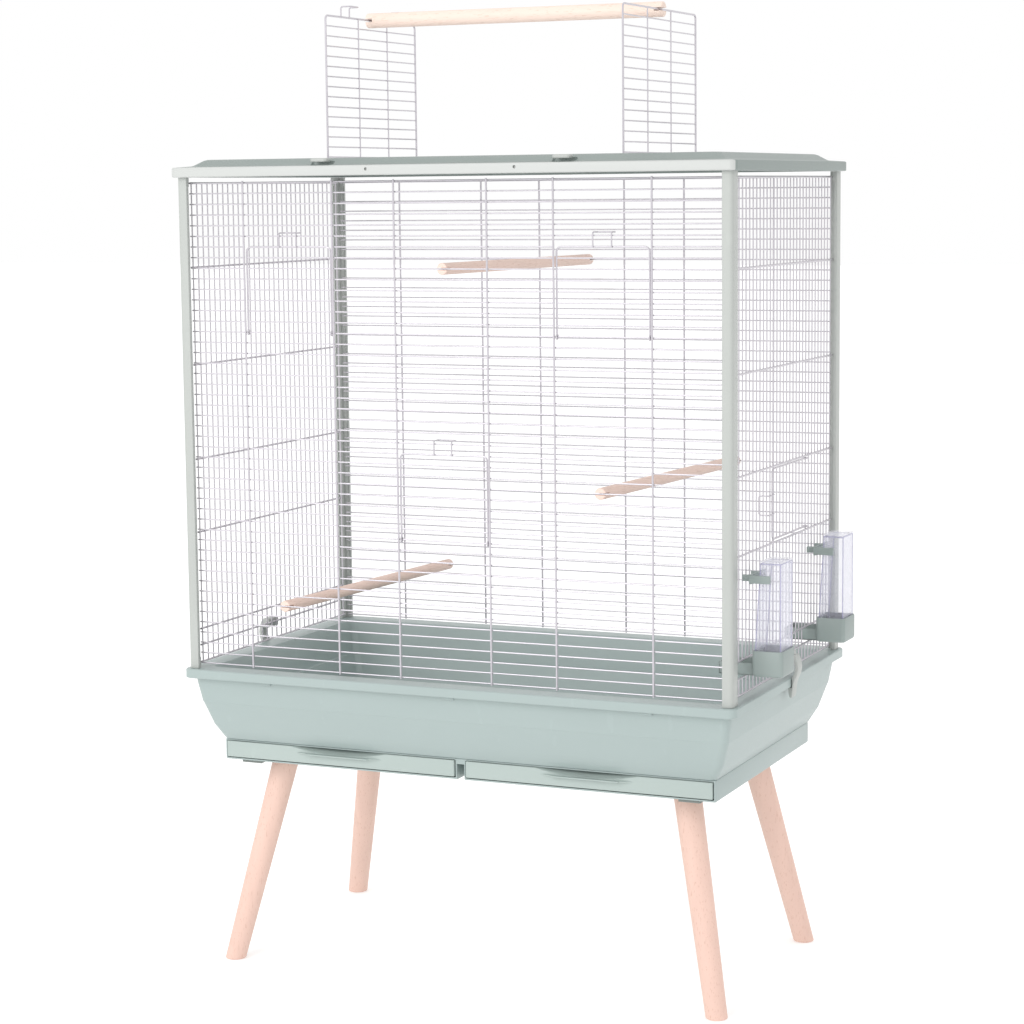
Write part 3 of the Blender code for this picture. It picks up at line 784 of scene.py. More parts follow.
@dataclass
class Panels(Assembly):
    """The four wire walls."""

    end_x: float = 0.3755
    end_y: float = 0.2095
    past_rows: float = 0.0022
    rail_inset: float = 0.003
    cup_gap: float = 0.002

    def stops(self, index: int, doorways: Sequence[Doorway]) -> list[tuple[float, float]]:
        """The stretches of a row between its doorways."""
        ups = self.sizes.uprights
        cuts = sorted((ups[door.first], ups[door.first + 1]) for door in doorways if door.top <= index < door.low)
        edges = [-self.end_x, *(edge for cut in cuts for edge in cut), self.end_x]
        return list(zip(edges[::2], edges[1::2]))

    def front_or_back(self, node: str, side: int, doorways: Sequence[Doorway]) -> None:
        """Build the front or the back wall; side is -1 or 1."""
        cage, sizes = self.cage, self.sizes
        y = cage.front_y if side < 0 else cage.back_y
        form = Form()
        for index in range(sizes.rows):
            z = cage.row(index)
            for left, right in self.stops(index, doorways):
                form.rod((cage.x(left), y, z), (cage.x(right), y, z), sizes.fine)
        out = y + side * sizes.outside
        foot, head = cage.row(sizes.rows - 1) - self.past_rows, cage.row_top + self.past_rows
        for up in sizes.uprights:
            place = cage.x(-side * up)
            form.rod((place, out, foot), (place, out, head), sizes.heavy)
        self.maker.piece(form, node, "round", self.looks.wire, BODY)

    def side(self, node: str, side: int, doorway: tuple[float, float, float, float] | None) -> None:
        """Build the left or the right wall.

        Args:
            node: the frame's node.
            side: -1 for the left, 1 for the right.
            doorway: front, back, low and high edges of its doorway, if it has one.
        """
        cage, sizes = self.cage, self.sizes
        x = cage.left_x if side < 0 else cage.right_x
        out = x + side * sizes.outside
        foot, head = cage.row(sizes.rows - 1), cage.row_top
        form = Form()
        cups = [Span.of(f"feeder_cup_{label}") for label in ("front", "rear")] if doorway else []
        for index in range(sizes.side_wires):
            y = (index - (sizes.side_wires - 1) / 2) * sizes.side_pitch
            gaps = []
            if doorway and doorway[0] < y < doorway[1] - 0.001:
                gaps.append(doorway[2:])
            if any(cup.low.y - self.cup_gap < y < cup.high.y + self.cup_gap for cup in cups):
                gaps.append((sizes.side_rails[5], sizes.side_rails[4]))
            ends = [foot, *(end for gap in sorted(gaps) for end in gap), head]
            for low, high in zip(ends[::2], ends[1::2]):
                form.rod((x, y, low), (x, y, high), sizes.fine)
        for z in (foot, head):
            form.rod((x, -self.end_y, z), (x, self.end_y, z), sizes.heavy)
        reach = self.end_y - self.rail_inset
        for z in sizes.side_rails:
            form.rod((out, -reach, z), (out, reach, z), sizes.heavy)
        self.maker.piece(form, node, "round", self.looks.wire, BODY)

    def build(self) -> None:
        """Build all four."""
        rails = self.sizes.side_rails
        self.front_or_back("front_wires", -1, DOORWAYS)
        self.front_or_back("back_wires", 1, ())
        self.side("left_wires", -1, None)
        front = Span.of("side_door").low.y + 0.014
        self.side("right_wires", 1, (front, self.sizes.side_hinge, rails[3], rails[2]))


@dataclass
class Doors(Assembly):
    """The wire doors, each with its latch loop and its hinge curls."""

    leg: float = 0.0013
    inset: float = 0.0035
    curl: float = 0.0029
    loop_half: float = 0.0125
    loop_rise: float = 0.0180
    loop_reach: float = 0.0140
    loop_bend: float = 0.0024
    loop_start: float = 0.0012
    side_front: float = -0.0448
    side_gap: float = 0.0038

    @property
    def loop_out(self) -> float:
        """How far a latch loop's wire stands outside the door's."""
        return self.leg + self.sizes.loop - self.sizes.weld

    def front(self, door: Doorway) -> None:
        """Build one front door."""
        cage, sizes = self.cage, self.sizes
        left = cage.x(sizes.uprights[door.first] + self.inset)
        right = cage.x(sizes.uprights[door.first + 1] - self.inset)
        y, hinge, head = cage.front_y, cage.row(door.low), cage.row(door.top)
        foot = hinge + self.curl
        form = Form()
        form.bent([(left, y, foot), (left, y, head), (right, y, head), (right, y, foot)], self.leg, 0.0065)
        for index in range(door.top + 1, door.low):
            form.rod((left, y, cage.row(index)), (right, y, cage.row(index)), sizes.fine)
        for x in (left, right):
            form.ring((x, y, hinge), (1, 0, 0), self.curl, sizes.loop)
        middle, out = (left + right) / 2, y - self.loop_out
        form.latch((middle - self.loop_half, middle + self.loop_half), (out, out + self.loop_reach),
                   (head - self.loop_start, head + self.loop_rise), "XYZ", sizes.loop, self.loop_bend)
        self.maker.piece(form, door.node, "round", self.looks.wire)

    def side(self) -> None:
        """Build the side door."""
        sizes, curl, front = self.sizes, self.curl, self.side_front
        hinge = sizes.side_hinge
        x = self.cage.right_x
        low, high = sizes.side_rails[3] + self.side_gap, sizes.side_rails[2] - self.side_gap
        form = Form()
        end = hinge - curl
        form.bent([(x, end, low), (x, front, low), (x, front, high), (x, end, high)], self.leg, 0.0060)
        for step in range(1, int((hinge - front) / sizes.side_pitch) + 1):
            y = hinge - step * sizes.side_pitch
            form.rod((x, y, low), (x, y, high), sizes.fine)
        for z in (low, high):
            form.ring((x, hinge, z), (0, 0, 1), curl + 0.0003, sizes.loop)
        middle, out = (low + high) / 2, x + self.loop_out
        tip = Span.of("side_door").low.y + 0.0010
        form.latch((middle - self.loop_half, middle + self.loop_half), (out, out - self.loop_reach),
                   (front + self.loop_start, tip), "ZXY", sizes.loop, self.loop_bend)
        self.maker.piece(form, "side_door", "round", self.looks.wire)

    def build(self) -> None:
        """Build every door."""
        for door in DOORWAYS:
            self.front(door)
        self.side()


@dataclass
class Roof(Assembly):
    """The roof's frame, wires, flaps and clips."""

    fascia: float = 0.0130
    flap_x: float = 0.210
    half_y: float = 0.134
    row_pitch: float = 0.0132
    hinge_z: float = 1.080
    top_z: float = 1.279
    flap_leg: float = 0.0014
    flap_uprights: float = 0.043
    curl: float = 0.0029
    latch_half: float = 0.0122
    latch_rise: float = 0.0140

    def frame(self) -> None:
        """Build the moulded frame: a fascia with a lip, a sloped crown and a round inner edge."""
        box = Span.of("roof_frame")
        low, top, edge = box.low.z, box.high.z, box.low.z + self.fascia

        def solid(levels: Sequence[tuple[float, float]], radius: float) -> Form:
            """A solid of rectangles, each given by its distance in from the outline and its height."""
            half = box.half
            return Form().stack([(half.x - inset, half.y - inset, z) for inset, z in levels], radius, box.middle)

        crown = solid([
            (0.0010, low), (0.0, low + 0.0010), (0.0, edge - 0.0016), (0.0006, edge - 0.0005), (0.0020, edge),
            (0.0190, edge + 0.0014), (0.0215, edge + 0.0024), (0.0310, top - 0.0014), (0.0345, top - 0.0002),
            (0.0380, top), (0.0480, top - 0.0006), (0.0500, top - 0.0020), (0.0505, low + 0.0060),
        ], 0.0085)
        obj = self.maker.piece(crown, "roof_frame", "moulded", self.looks.roof, BODY, 28.0)
        self.maker.cut(obj, solid([(0.0510, low - 0.01), (0.0510, top + 0.01)], 0.010))
        self.maker.cut(obj, solid([(0.0290, low - 0.01), (0.0290, low + 0.005)], 0.010))
        holes = Form()
        for x in (self.cage.x(-0.1035), self.cage.x(0.1035)):
            holes.rod((x, box.low.y - 0.002, low + 0.0078), (x, box.low.y + 0.003, low + 0.0078), 0.0021, 16)
        self.maker.cut(obj, holes)
        recess = Form()
        for label in CORNERS:
            clip = Span.of(f"roof_clip_{label}")
            recess.slab((clip.low.x - 0.004, clip.middle.y - 0.0105, edge + 0.0004),
                        (clip.high.x + 0.004, clip.middle.y + 0.0115, top + 0.004), 0.003, 3)
        self.maker.cut(obj, recess)

    def wires(self) -> None:
        """Build the roof's wires, which leave an opening under the flaps."""
        box, sizes, z = Span.of("roof_wires"), self.sizes, self.hinge_z
        edge, half = self.half_y + 0.006, box.half.x
        form = Form()
        for side in (-1, 1):
            form.rod((self.cage.x(-half), side * edge, z + sizes.outside),
                     (self.cage.x(half), side * edge, z + sizes.outside), sizes.heavy)
        count = int(half / sizes.pitch)
        for index in range(-count, count + 1):
            x = self.cage.x(index * sizes.pitch)
            ends = [box.low.y, box.high.y]
            if abs(index * sizes.pitch) < self.flap_x - 0.001:
                ends[1:1] = [-edge, edge]
            for start, end in zip(ends[::2], ends[1::2]):
                form.rod((x, start, z), (x, end, z), sizes.fine)
        self.maker.piece(form, "roof_wires", "round", self.looks.wire, BODY)

    def flap(self, node: str, side: int, latches: Sequence[float]) -> None:
        """Build one flap, standing up.

        Args:
            node: its frame node and body.
            side: -1 for the left, 1 for the right.
            latches: the places of its latch loops along the top.
        """
        sizes, half, top = self.sizes, self.half_y, self.top_z
        x, foot = self.cage.x(side * self.flap_x), self.hinge_z + self.curl
        form = Form()
        form.bent([(x, -half, foot), (x, -half, top), (x, half, top), (x, half, foot)], self.flap_leg, 0.0055)
        for index in range(1, 15):
            z = top - index * self.row_pitch
            form.rod((x, -half, z), (x, half, z), sizes.fine)
        inside = x - side * (2 * sizes.fine - sizes.weld)
        for y in (-self.flap_uprights, self.flap_uprights):
            form.rod((inside, y, self.hinge_z + 0.0040), (inside, y, top), sizes.fine)
        for y in (-half, half):
            form.ring((x, y, self.hinge_z), (0, 1, 0), self.curl, sizes.loop)
        out = x - self.flap_leg - sizes.loop + sizes.weld
        for middle in latches:
            form.latch((middle - self.latch_half, middle + self.latch_half), (out, out + self.latch_rise),
                       (top - 0.0012, top + self.latch_rise), "YXZ", sizes.loop, 0.0026)
        self.maker.piece(form, node, "round", self.looks.wire)

    def clips(self) -> None:
        """Build the four rounded tabs in the crown."""
        for label in CORNERS:
            node = f"roof_clip_{label}"
            box = Span.of(node)
            half, low, top = box.half, box.low.z, box.high.z
            levels = [(0.0006, 0.0006, low), (0.0, 0.0, low + 0.0006), (0.0, 0.0, top - 0.0020),
                      (0.0006, 0.0006, top - 0.0009), (0.0020, 0.0020, top - 0.0002), (0.0050, 0.0040, top)]
            form = Form().stack([(half.x - dx, half.y - dy, z) for dx, dy, z in levels], 0.0045, box.middle)
            self.maker.piece(form, node, "moulded", self.looks.pale, node, 50.0)

    def build(self) -> None:
        """Build the roof."""
        self.frame()
        self.wires()
        self.flap("roof_flap_left", -1, (-0.0735, 0.0735))
        self.flap("roof_flap_right", 1, ())
        self.clips()


# ---------------------------------------------------------------- wood


@dataclass
class Perches(Assembly):
    """The round beech perches, slotted at both ends."""

    reach: float = 0.0009
    softening: float = 0.0012
    past_tip: float = 0.004

    def inner(self, node: str, front_x: float, back_x: float, row: int) -> None:
        """Build one inner perch between the front and back wires."""
        cage, z = self.cage, self.cage.row(row)
        start = Vector((cage.x(front_x), cage.front_y - self.reach, z))
        end = Vector((cage.x(back_x), cage.back_y + self.reach, z))
        self.turned(node, start, end, 0.0075, 0.0120, 0.0015, self.looks.perch_wood)

    def turned(self, node: str, start: Vector, end: Vector, radius: float, depth: float, half: float,
               wood: Look) -> None:
        """Build a perch with softened ends and a slot across each.

        Args:
            node: its frame node and body.
            start: centre of one end.
            end: centre of the other.
            radius: its radius.
            depth: how deep each slot goes.
            half: half the slot's height.
            wood: its finish.
        """
        form = Form()
        form.rod(start, end, radius, 40)
        form.soften(form.sharp(1.0), self.softening, 3)
        obj = self.maker.piece(form, node, "turned", wood)
        way = (end - start).normalized()
        side = way.cross(Vector((0, 0, 1))).normalized()
        turn = Matrix((side, way, way.cross(side) * -1)).transposed().to_4x4()
        for tip, inward in ((start, 1.0), (end, -1.0)):
            slot = Form().slab((-2 * radius, -self.past_tip * inward, -half), (2 * radius, depth * inward, half))
            self.maker.cut(obj, slot.moved(Matrix.Translation(tip) @ turn))

    def build(self) -> None:
        """Build all four perches."""
        self.inner("perch_upper", -0.007, 0.020, 8)
        self.inner("perch_middle", 0.208, 0.240, 28)
        self.inner("perch_lower", -0.245, -0.206, 40)
        box = Span.of("top_perch")
        start, end = Vector((box.low.x, 0, box.middle.z)), Vector((box.high.x, 0, box.middle.z))
        self.turned("top_perch", start, end, 0.0100, 0.0105, 0.0022, self.looks.top_wood)


@dataclass
class Legs(Assembly):
    """The four splayed legs."""

    top_radius: float = 0.01854
    foot_radius: float = 0.0141625
    softening: float = 0.0014

    def end(self, mesh: bpy.types.Mesh, level: float) -> Vector:
        """The middle of a leg's end at a level."""
        found = [vert.co.copy() for vert in mesh.vertices if abs(vert.co.z - level) < 0.0005]
        return sum(found, Vector()) / len(found)

    def build(self) -> None:
        """Build each leg between the ends of its node."""
        for label in CORNERS:
            node = f"leg_{label}"
            mesh = self.maker.frame["nodes"][node].data
            heights = [vert.co.z for vert in mesh.vertices]
            foot = self.end(mesh, min(heights))
            rise = self.end(mesh, max(heights)) - foot
            form = Form()
            form.rod((0, 0, 0), (0, 0, rise.z), self.foot_radius, 48, self.top_radius)
            form.soften(form.sharp(1.0), self.softening, 3)
            lean = Matrix.Identity(4)
            lean[0][2], lean[1][2] = rise.x / rise.z, rise.y / rise.z
            form.moved(Matrix.Translation(foot) @ lean)
            self.maker.piece(form, node, "turned", self.looks.leg_wood, BODY)


# ---------------------------------------------------------------- mouldings


@dataclass
class Posts(Assembly):
    """The four corner posts, each with a rounded corner and a long slot down its inner edges."""

    front_width: float = 0.0140
    side_width: float = 0.0200
    web: float = 0.0064
    corner: float = 0.0046
    softening: float = 0.0007
    slot_depth: float = 0.0024
    slot_in: float = 0.0018
    slot_end: float = 0.012

    def build(self) -> None:
        """Build each post inside its node's box."""
        web, wide, deep = self.web, self.front_width, self.side_width
        for label, (way_x, way_y) in CORNERS.items():
            node = f"post_{label}"
            box = Span.of(node)
            outer = Vector((box.low.x if way_x < 0 else box.high.x, box.low.y if way_y < 0 else box.high.y))

            def at(inward: float, back: float, z: float) -> Point:
                """A point measured in from the post's outer corner."""
                return (outer.x - way_x * inward, outer.y - way_y * back, z)

            profile = ((0, 0), (wide, 0), (wide, web), (web, web), (web, deep), (0, deep))
            form = Form().outline([at(*point, box.low.z) for point in profile], (0, 0, box.high.z - box.low.z))
            corner = [edge for edge in form.tall() if (edge.verts[0].co.xy - outer).length < 0.0001]
            form.soften(corner, self.corner, 6)
            form.soften(set(form.tall()) & set(form.sharp(1.2)), self.softening, 2)
            obj = self.maker.piece(form, node, "moulded", self.looks.pale, BODY, 40.0)
            low, high = box.low.z + self.slot_end, box.high.z - self.slot_end
            slots = Form()
            base = web - self.slot_depth
            for x, y in ((wide - self.slot_in, base), (base, deep - self.slot_in)):
                far_x, far_y = (wide if x > web else web) + 0.002, (deep if y > web else web) + 0.002
                slots.slab(at(x, y, low), at(far_x, far_y, high))
            self.maker.cut(obj, slots)


@dataclass
class Tray(Assembly):
    """The stepped tray, its ledge, and the drawer housing and pads under it."""

    profile: tuple[Point, ...] = (
        (0.3540, 0.1960, 0.3110), (0.3549, 0.1969, 0.3118), (0.3660, 0.2070, 0.3315), (0.3758, 0.2171, 0.3620),
        (0.3764, 0.2177, 0.3637), (0.3768, 0.2181, 0.3640), (0.3812, 0.2236, 0.3912), (0.3816, 0.2240, 0.3950),
        (0.3826, 0.2250, 0.3985), (0.3915, 0.2335, 0.3985), (0.3926, 0.2346, 0.3994), (0.3926, 0.2346, 0.4098),
        (0.3915, 0.2335, 0.4110), (0.3650, 0.2056, 0.4110), (0.3640, 0.2046, 0.4104), (0.3602, 0.2008, 0.3955),
        (0.3559, 0.1952, 0.3645), (0.3546, 0.1938, 0.3637), (0.3520, 0.1912, 0.3637), (0.3433, 0.1835, 0.3318),
        (0.3420, 0.1822, 0.3314), (0.3305, 0.1735, 0.3140), (0.3290, 0.1720, 0.3135),
    )
    lugs: tuple[float, ...] = (-0.272, -0.0015, 0.272)
    wall: float = 0.0025
    bay_back: float = 0.185
    pillar: float = 0.0070
    notch: float = 0.0055

    def build(self) -> None:
        """Build the tray, the pads and the housing."""
        x = self.cage.x
        form = Form().stack(self.profile, 0.0090, Span.of("tray").middle)
        for lug in self.lugs:
            form.slab((x(lug - 0.009), -0.2285, 0.3945), (x(lug + 0.009), -0.2240, 0.3988), 0.001, 2)
        self.maker.piece(form, "tray", "moulded", self.looks.tray, BODY, 28.0)
        for label in CORNERS:
            box = Span.of(f"pad_{label}")
            pad = Form().slab(box.low, box.high, 0.0010, 3)
            self.maker.piece(pad, f"pad_{label}", "moulded", self.looks.dark, BODY)
        self.housing()

    def housing(self) -> None:
        """Build the drawer housing: a softened shell open at the front, with a pillar between its two bays."""
        box, x, wall = Span.of("drawer_housing"), self.cage.x, self.wall
        front = box.low.y - 0.01
        form = Form().slab(box.low, box.high, 0.0022, 3)
        obj = self.maker.piece(form, "drawer_housing", "moulded", self.looks.tray, BODY, 40.0)
        bays = Form()
        for side in (-1, 1):
            bays.slab((x(side * self.pillar), front, box.low.z + wall),
                      (x(side * (0.3535 - wall)), self.bay_back, box.high.z - wall), 0.0012, 2)
        bays.slab((x(-self.notch), front, box.low.z - 0.01),
                  (x(self.notch), box.low.y + 0.030, box.high.z - 0.0080))
        self.maker.cut(obj, bays)


@dataclass
class Drawers(Assembly):
    """The two shallow drawers with a scooped lip."""

    wall: float = 0.0025
    face_in: float = 0.0075
    middle: float = 0.179
    scoop_half: float = 0.077
    scoop_depth: float = 0.0080
    scoop_tilt: float = 26.0
    recess_half: float = 0.084
    lip_thick: float = 0.0016
    lip_outline: tuple[tuple[float, float], ...] = (
        (-0.0700, -0.0015), (-0.0470, 0.0042), (-0.0455, 0.0070),
        (0.0455, 0.0070), (0.0470, 0.0042), (0.0700, -0.0015),
    )

    def build(self) -> None:
        """Build each drawer inside its node's box."""
        look, wall = self.looks.drawer, self.wall
        for node, side in (("drawer_left", -1), ("drawer_right", 1)):
            box = Span.of(node)
            front, top = box.low.y + self.face_in, box.high.z
            form = Form().slab((box.low.x + 0.0006, front, box.low.z + 0.0010),
                               (box.high.x - 0.0006, box.high.y, top), 0.0010, 3)
            obj = self.maker.piece(form, node, "moulded", look, node, 40.0)
            self.maker.cut(obj, Form().slab((box.low.x + wall, front + 0.0032, box.low.z + wall),
                                            (box.high.x - wall, box.high.y - wall, top + 0.02), 0.004, 4))
            middle = self.cage.x(side * self.middle)
            backing = Form().slab((middle - self.recess_half, front + 0.0028, box.low.z + 0.0030),
                                  (middle + self.recess_half, front + 0.0170, top - 0.0002), 0.0008, 2)
            shade = self.maker.piece(backing, node, "recess", look, node, 40.0)
            self.maker.cut(obj, self.scoop(middle, front, top))
            self.maker.cut(shade, self.scoop(middle, front, top))
            self.lip(node, middle, front, top - self.scoop_depth - 0.0012)

    def scoop(self, middle: float, front: float, top: float) -> Form:
        """The wide shallow scoop, which rises towards the back."""
        depth = self.scoop_depth
        radius = (self.scoop_half**2 + depth**2) / (2 * depth)
        form = Form()
        form.rod((0, -0.008, 0), (0, 0.030, 0), radius, 240)
        tilt = Matrix.Rotation(math.radians(self.scoop_tilt), 4, "X")
        foot = Matrix.Translation((middle, front, top - depth))
        return form.moved(foot @ tilt @ Matrix.Translation((0, 0, radius)))

    def lip(self, node: str, middle: float, front: float, low: float) -> None:
        """The thin pull that stands out under the scoop."""
        form = Form().outline([(middle + x, front - y, low) for x, y in self.lip_outline], (0, 0, self.lip_thick))
        form.outwards()
        form.soften(form.sharp(1.2), 0.0005, 2)
        self.maker.piece(form, node, "lip", self.looks.drawer, node, 40.0)


# ---------------------------------------------------------------- feeders and clips


@dataclass
class Feeders(Assembly):
    """The two feeders: a cup with a trough, a clear reservoir, a lid and a clip."""

    front_start: float = -0.1775
    rear_start: float = 0.0905
    width: float = 0.052
    wall: float = 0.0016
    trough: tuple[float, float] = (0.3492, 0.3946)
    cup_levels: tuple[Flat, ...] = (
        (0.3965, 0.4335, 0.0020, 0.4430), (0.3950, 0.4345, 0.0006, 0.4442), (0.3945, 0.4350, 0.0, 0.4470),
        (0.3945, 0.4350, 0.0, 0.4746), (0.3950, 0.4345, 0.0006, 0.4755), (0.3960, 0.4333, 0.0018, 0.4755),
        (0.3966, 0.4328, 0.0022, 0.4745), (0.3966, 0.4328, 0.0022, 0.4465), (0.3976, 0.4318, 0.0032, 0.4453),
    )

    def levels(self, start: float, table: Iterable[Flat]) -> list[Level]:
        """Rectangles of a feeder from their low x, high x, inset in y and height."""
        x, end = self.cage.x, start + self.width
        return [(x(low), x(high), start + inset, end - inset, z) for low, high, inset, z in table]

    def cup(self, label: str, start: float) -> None:
        """Build the cup outside the wires and the trough that it feeds inside them."""
        form = Form().loft(self.levels(start, self.cup_levels), 0.0050)
        (inner, outer), foot, head = map(self.cage.x, self.trough), 0.4430, 0.4588
        low, high = start + 0.007, start + self.width - 0.007
        form.slab((inner, low, foot), (outer, high, 0.4448), 0.0006, 2)
        for y in (low, high - 0.0018):
            form.slab((inner, y, foot), (outer, y + 0.0018, head), 0.0006, 2)
        form.slab((inner, low, foot), (inner + 0.0019, high, head), 0.0006, 2)
        self.maker.piece(form, f"feeder_cup_{label}", "moulded", self.looks.sage, BODY, 40.0)

    def reservoir(self, label: str, start: float) -> None:
        """Build the clear reservoir, open at the foot, with a rolled rim at the top."""
        node, wall, middle, half = f"feeder_reservoir_{label}", self.wall, start + self.width / 2, 0.0234
        box = Span.of(node)
        foot, head, front = box.low.z, box.high.z, self.cage.x(0.4324)

        def ring(z: float, inset: float = 0.0) -> Level:
            """One rectangle at a height, drawn in from the outside; its back face leans."""
            back = self.cage.x(0.3970) + 0.0075 * (z - foot) / (head - foot)
            return (back + inset, front - inset, middle - half + inset, middle + half - inset, z)

        form = Form().loft([
            ring(foot), ring(head - 0.0075), ring(head - 0.0068), ring(head - 0.0006), ring(head, 0.0006),
            ring(head, wall - 0.0004), ring(head - 0.0006, wall), ring(foot + 0.0026, wall),
            ring(foot + 0.0018, wall + 0.0008),
        ], 0.0016)
        obj = self.maker.piece(form, node, "clear", self.looks.clear, node, 40.0)
        back = ring(foot)[0]
        self.maker.cut(obj, Form().slab((back - 0.01, middle - 0.014, foot - 0.001),
                                        (back + 0.012, middle + 0.014, foot + 0.0105), 0.002, 3))
        self.edges(node, ring(foot + 0.0010), ring(head - 0.0010))

    def edges(self, node: str, low: Level, high: Level, inset: float = 0.0010, thin: float = 0.0008) -> None:
        """Build the denser strips along a clear box's upright and upper edges."""
        form = Form()
        rims = []
        for low_x, high_x, low_y, high_y, z in (low, high):
            one, two = Vector((low_x + inset, low_y + inset, z)), Vector((high_x - inset, high_y - inset, z))
            rims.append([one, (two.x, one.y, z), two, (one.x, two.y, z)])
        lower, upper = rims
        for start, end in (*zip(lower, upper), *zip(upper, upper[1:] + upper[:1])):
            form.rod(start, end, thin, 8)
        self.maker.piece(form, node, "edges", self.looks.clear_edge, node, 40.0)

    def lid(self, label: str, start: float) -> None:
        """Build the clear lid and its plug."""
        node = f"feeder_lid_{label}"
        box = Span.of(node)
        top = box.high.z
        levels = self.levels(start, (
            (0.4078, 0.4297, 0.0064, box.low.z), (0.4076, 0.4299, 0.0062, top - 0.0020),
            (0.4038, 0.4331, 0.0023, top - 0.0020), (0.4035, 0.4334, 0.0020, top - 0.0016),
            (0.4035, 0.4334, 0.0020, top - 0.0005), (0.4040, 0.4329, 0.0025, top),
        ))
        self.maker.piece(Form().loft(levels, 0.0040), node, "clear", self.looks.lid, node, 40.0)

    def clip(self, label: str, start: float) -> None:
        """Build the clip that holds the reservoir to the wires."""
        x, end = self.cage.x, start + self.width
        form = Form().slab((x(0.3925), start - 0.004, 0.560), (x(0.3962), end + 0.001, 0.572), 0.0008, 3)
        form.slab((x(0.3925), start - 0.0045, 0.561), (x(0.4200), start - 0.0005, 0.571), 0.0010, 3)
        for y in (start + 0.006, end - 0.012):
            form.slab((x(0.3800), y, 0.5620), (x(0.3935), y + 0.005, 0.5700), 0.0008, 2)
        self.maker.piece(form, f"feeder_clip_{label}", "moulded", self.looks.grip, BODY, 40.0)

    def build(self) -> None:
        """Build both feeders."""
        for label, start in (("front", self.front_start), ("rear", self.rear_start)):
            self.cup(label, start)
            self.reservoir(label, start)
            self.lid(label, start)
            self.clip(label, start)


@dataclass
class TrayClips(Assembly):
    """The S-shaped clips that hook under the tray's rim, and their brackets."""

    outline: tuple[tuple[float, float], ...] = (
        (0.3934, 0.4360), (0.3968, 0.4305), (0.3982, 0.4240), (0.3970, 0.4170), (0.3936, 0.4112), (0.3934, 0.3976),
        (0.3884, 0.3976), (0.3890, 0.3905), (0.3905, 0.3852), (0.3930, 0.3840), (0.3944, 0.3880), (0.3950, 0.3960),
        (0.3960, 0.4030), (0.3978, 0.4085), (0.4012, 0.4160), (0.4024, 0.4240), (0.4014, 0.4310), (0.3990, 0.4388),
        (0.3976, 0.4408), (0.3956, 0.4412), (0.3938, 0.4394),
    )
    half: float = 0.0090

    def build(self) -> None:
        """Build both sides."""
        for label, side in (("left", -1), ("right", 1)):
            points = [(self.cage.x(side * x), -self.half, z) for x, z in self.outline]
            form = Form().outline(points, (0, 2 * self.half, 0))
            form.outwards()
            ends = [edge for edge in form.bm.edges if abs(edge.verts[0].co.y - edge.verts[1].co.y) < 0.0001]
            form.soften(ends, 0.0005, 2)
            self.maker.piece(form, f"tray_clip_{label}", "moulded", self.looks.pale, smooth=30.0)
            bracket = f"tray_clip_bracket_{label}"
            box = Span.of(bracket)
            base = Form().slab(box.low, box.high, 0.0012, 3)
            self.maker.piece(base, bracket, "moulded", self.looks.pale, BODY, 40.0)


# ---------------------------------------------------------------- studio


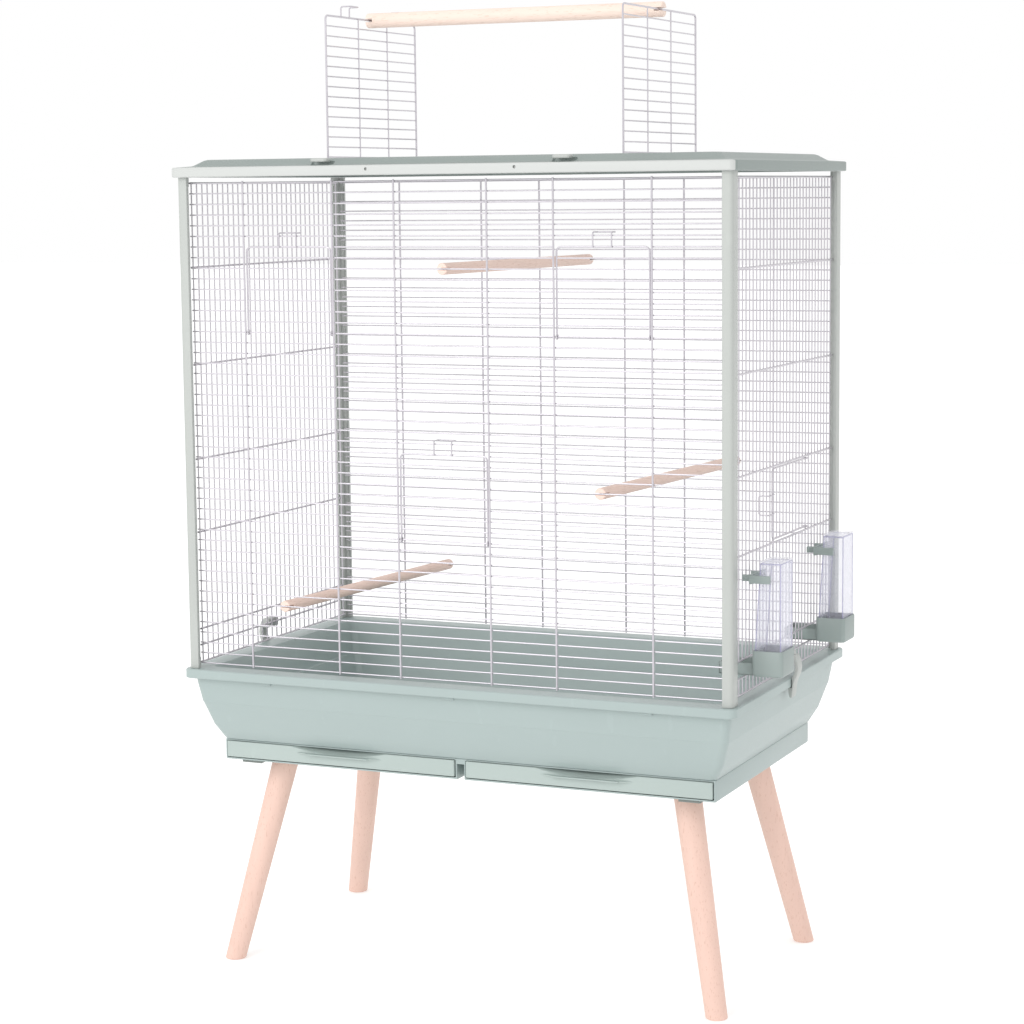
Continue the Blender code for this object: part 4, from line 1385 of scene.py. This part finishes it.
@dataclass
class Studio:
    """The camera, the pale floor and the soft light."""

    eye: Point = (1.38595, -3.1812, 1.0488)
    turn: Point = (-0.4173, -0.1248, -0.0105)
    focal: float = 90.37
    floor_reach: float = 30.0

    def camera(self) -> None:
        """Place the camera; turn is its yaw, pitch and roll."""
        yaw, pitch, roll = self.turn
        ahead = Vector((math.sin(yaw) * math.cos(pitch), math.cos(yaw) * math.cos(pitch), math.sin(pitch)))
        right = Vector((math.cos(yaw), -math.sin(yaw), 0.0))
        up = right.cross(ahead)
        across = right * math.cos(roll) + up * math.sin(roll)
        over = up * math.cos(roll) - right * math.sin(roll)
        lens = bpy.data.cameras.new("camera")
        lens.lens = self.focal
        lens.sensor_width = 36.0
        lens.dof.use_dof = False
        camera = linked("camera", lens)
        turned = Matrix((across, over, -ahead)).transposed().to_4x4()
        camera.matrix_world = Matrix.Translation(self.eye) @ turned
        bpy.context.scene.camera = camera

    def lamp(self, name: str, place: Point, aim: Point, size: float, power: float) -> None:
        """Add a square area light.

        Args:
            name: its name.
            place: its centre.
            aim: the point it faces.
            size: its width.
            power: its power in watts.
        """
        light = bpy.data.lights.new(name, "AREA")
        light.size = size
        light.energy = power
        lamp = linked(name, light)
        lamp.location = place
        lamp.rotation_euler = (Vector(aim) - Vector(place)).to_track_quat("-Z", "Y").to_euler()

    def build(self) -> None:
        """Build the floor, the lights and the sky."""
        shader = Shader("floor")
        grain = shader.noise(3.0, 2.0)
        shader.set(Base_Color=shader.blend(grain, (0.80, 0.80, 0.80, 1.0), (0.83, 0.83, 0.83, 1.0)), Roughness=0.8)
        shader.set(Emission_Color=(1.0, 1.0, 1.0, 1.0), Emission_Strength=0.32)
        form = Form()
        form.plate((-self.floor_reach, -self.floor_reach), (self.floor_reach, self.floor_reach), 0.0, 1.0, 4)
        mesh = form.mesh("floor")
        mesh.materials.append(shader.material)
        floor = linked("floor", mesh)
        floor.location.z = -0.0005
        self.lamp("key", (-1.0, -3.3, 2.2), (0, 0, 0.7), 2.2, 50.0)
        self.lamp("fill", (2.8, -1.6, 1.9), (0, 0, 0.7), 2.4, 3.0)
        self.lamp("over", (0.0, 0.4, 3.6), (0, 0, 0.6), 2.6, 5.0)
        world = bpy.data.worlds.new("sky")
        bpy.context.scene.world = world
        world.use_nodes = True
        sky = world.node_tree.nodes["Background"].inputs
        sky["Color"].default_value = (1.0, 1.0, 1.0, 1.0)
        sky["Strength"].default_value = 1.0
        bpy.context.scene.view_settings.view_transform = "Standard"


def main() -> None:
    """Build the studio and every piece, and log how many pieces were made."""
    logging.basicConfig(level=logging.INFO, format="%(name)s %(message)s")
    studio = Studio()
    studio.camera()
    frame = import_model()
    maker = Maker(frame, Finishes())
    cage = Cage()
    for assembly in (Panels, Doors, Roof, Perches, Tray, Drawers, Feeders, TrayClips, Legs, Posts):
        assembly(cage, maker).build()
    studio.build()
    bpy.context.view_layer.update()
    LOG.info("%d pieces", len(maker.made))


if __name__ == "__main__":
    main()
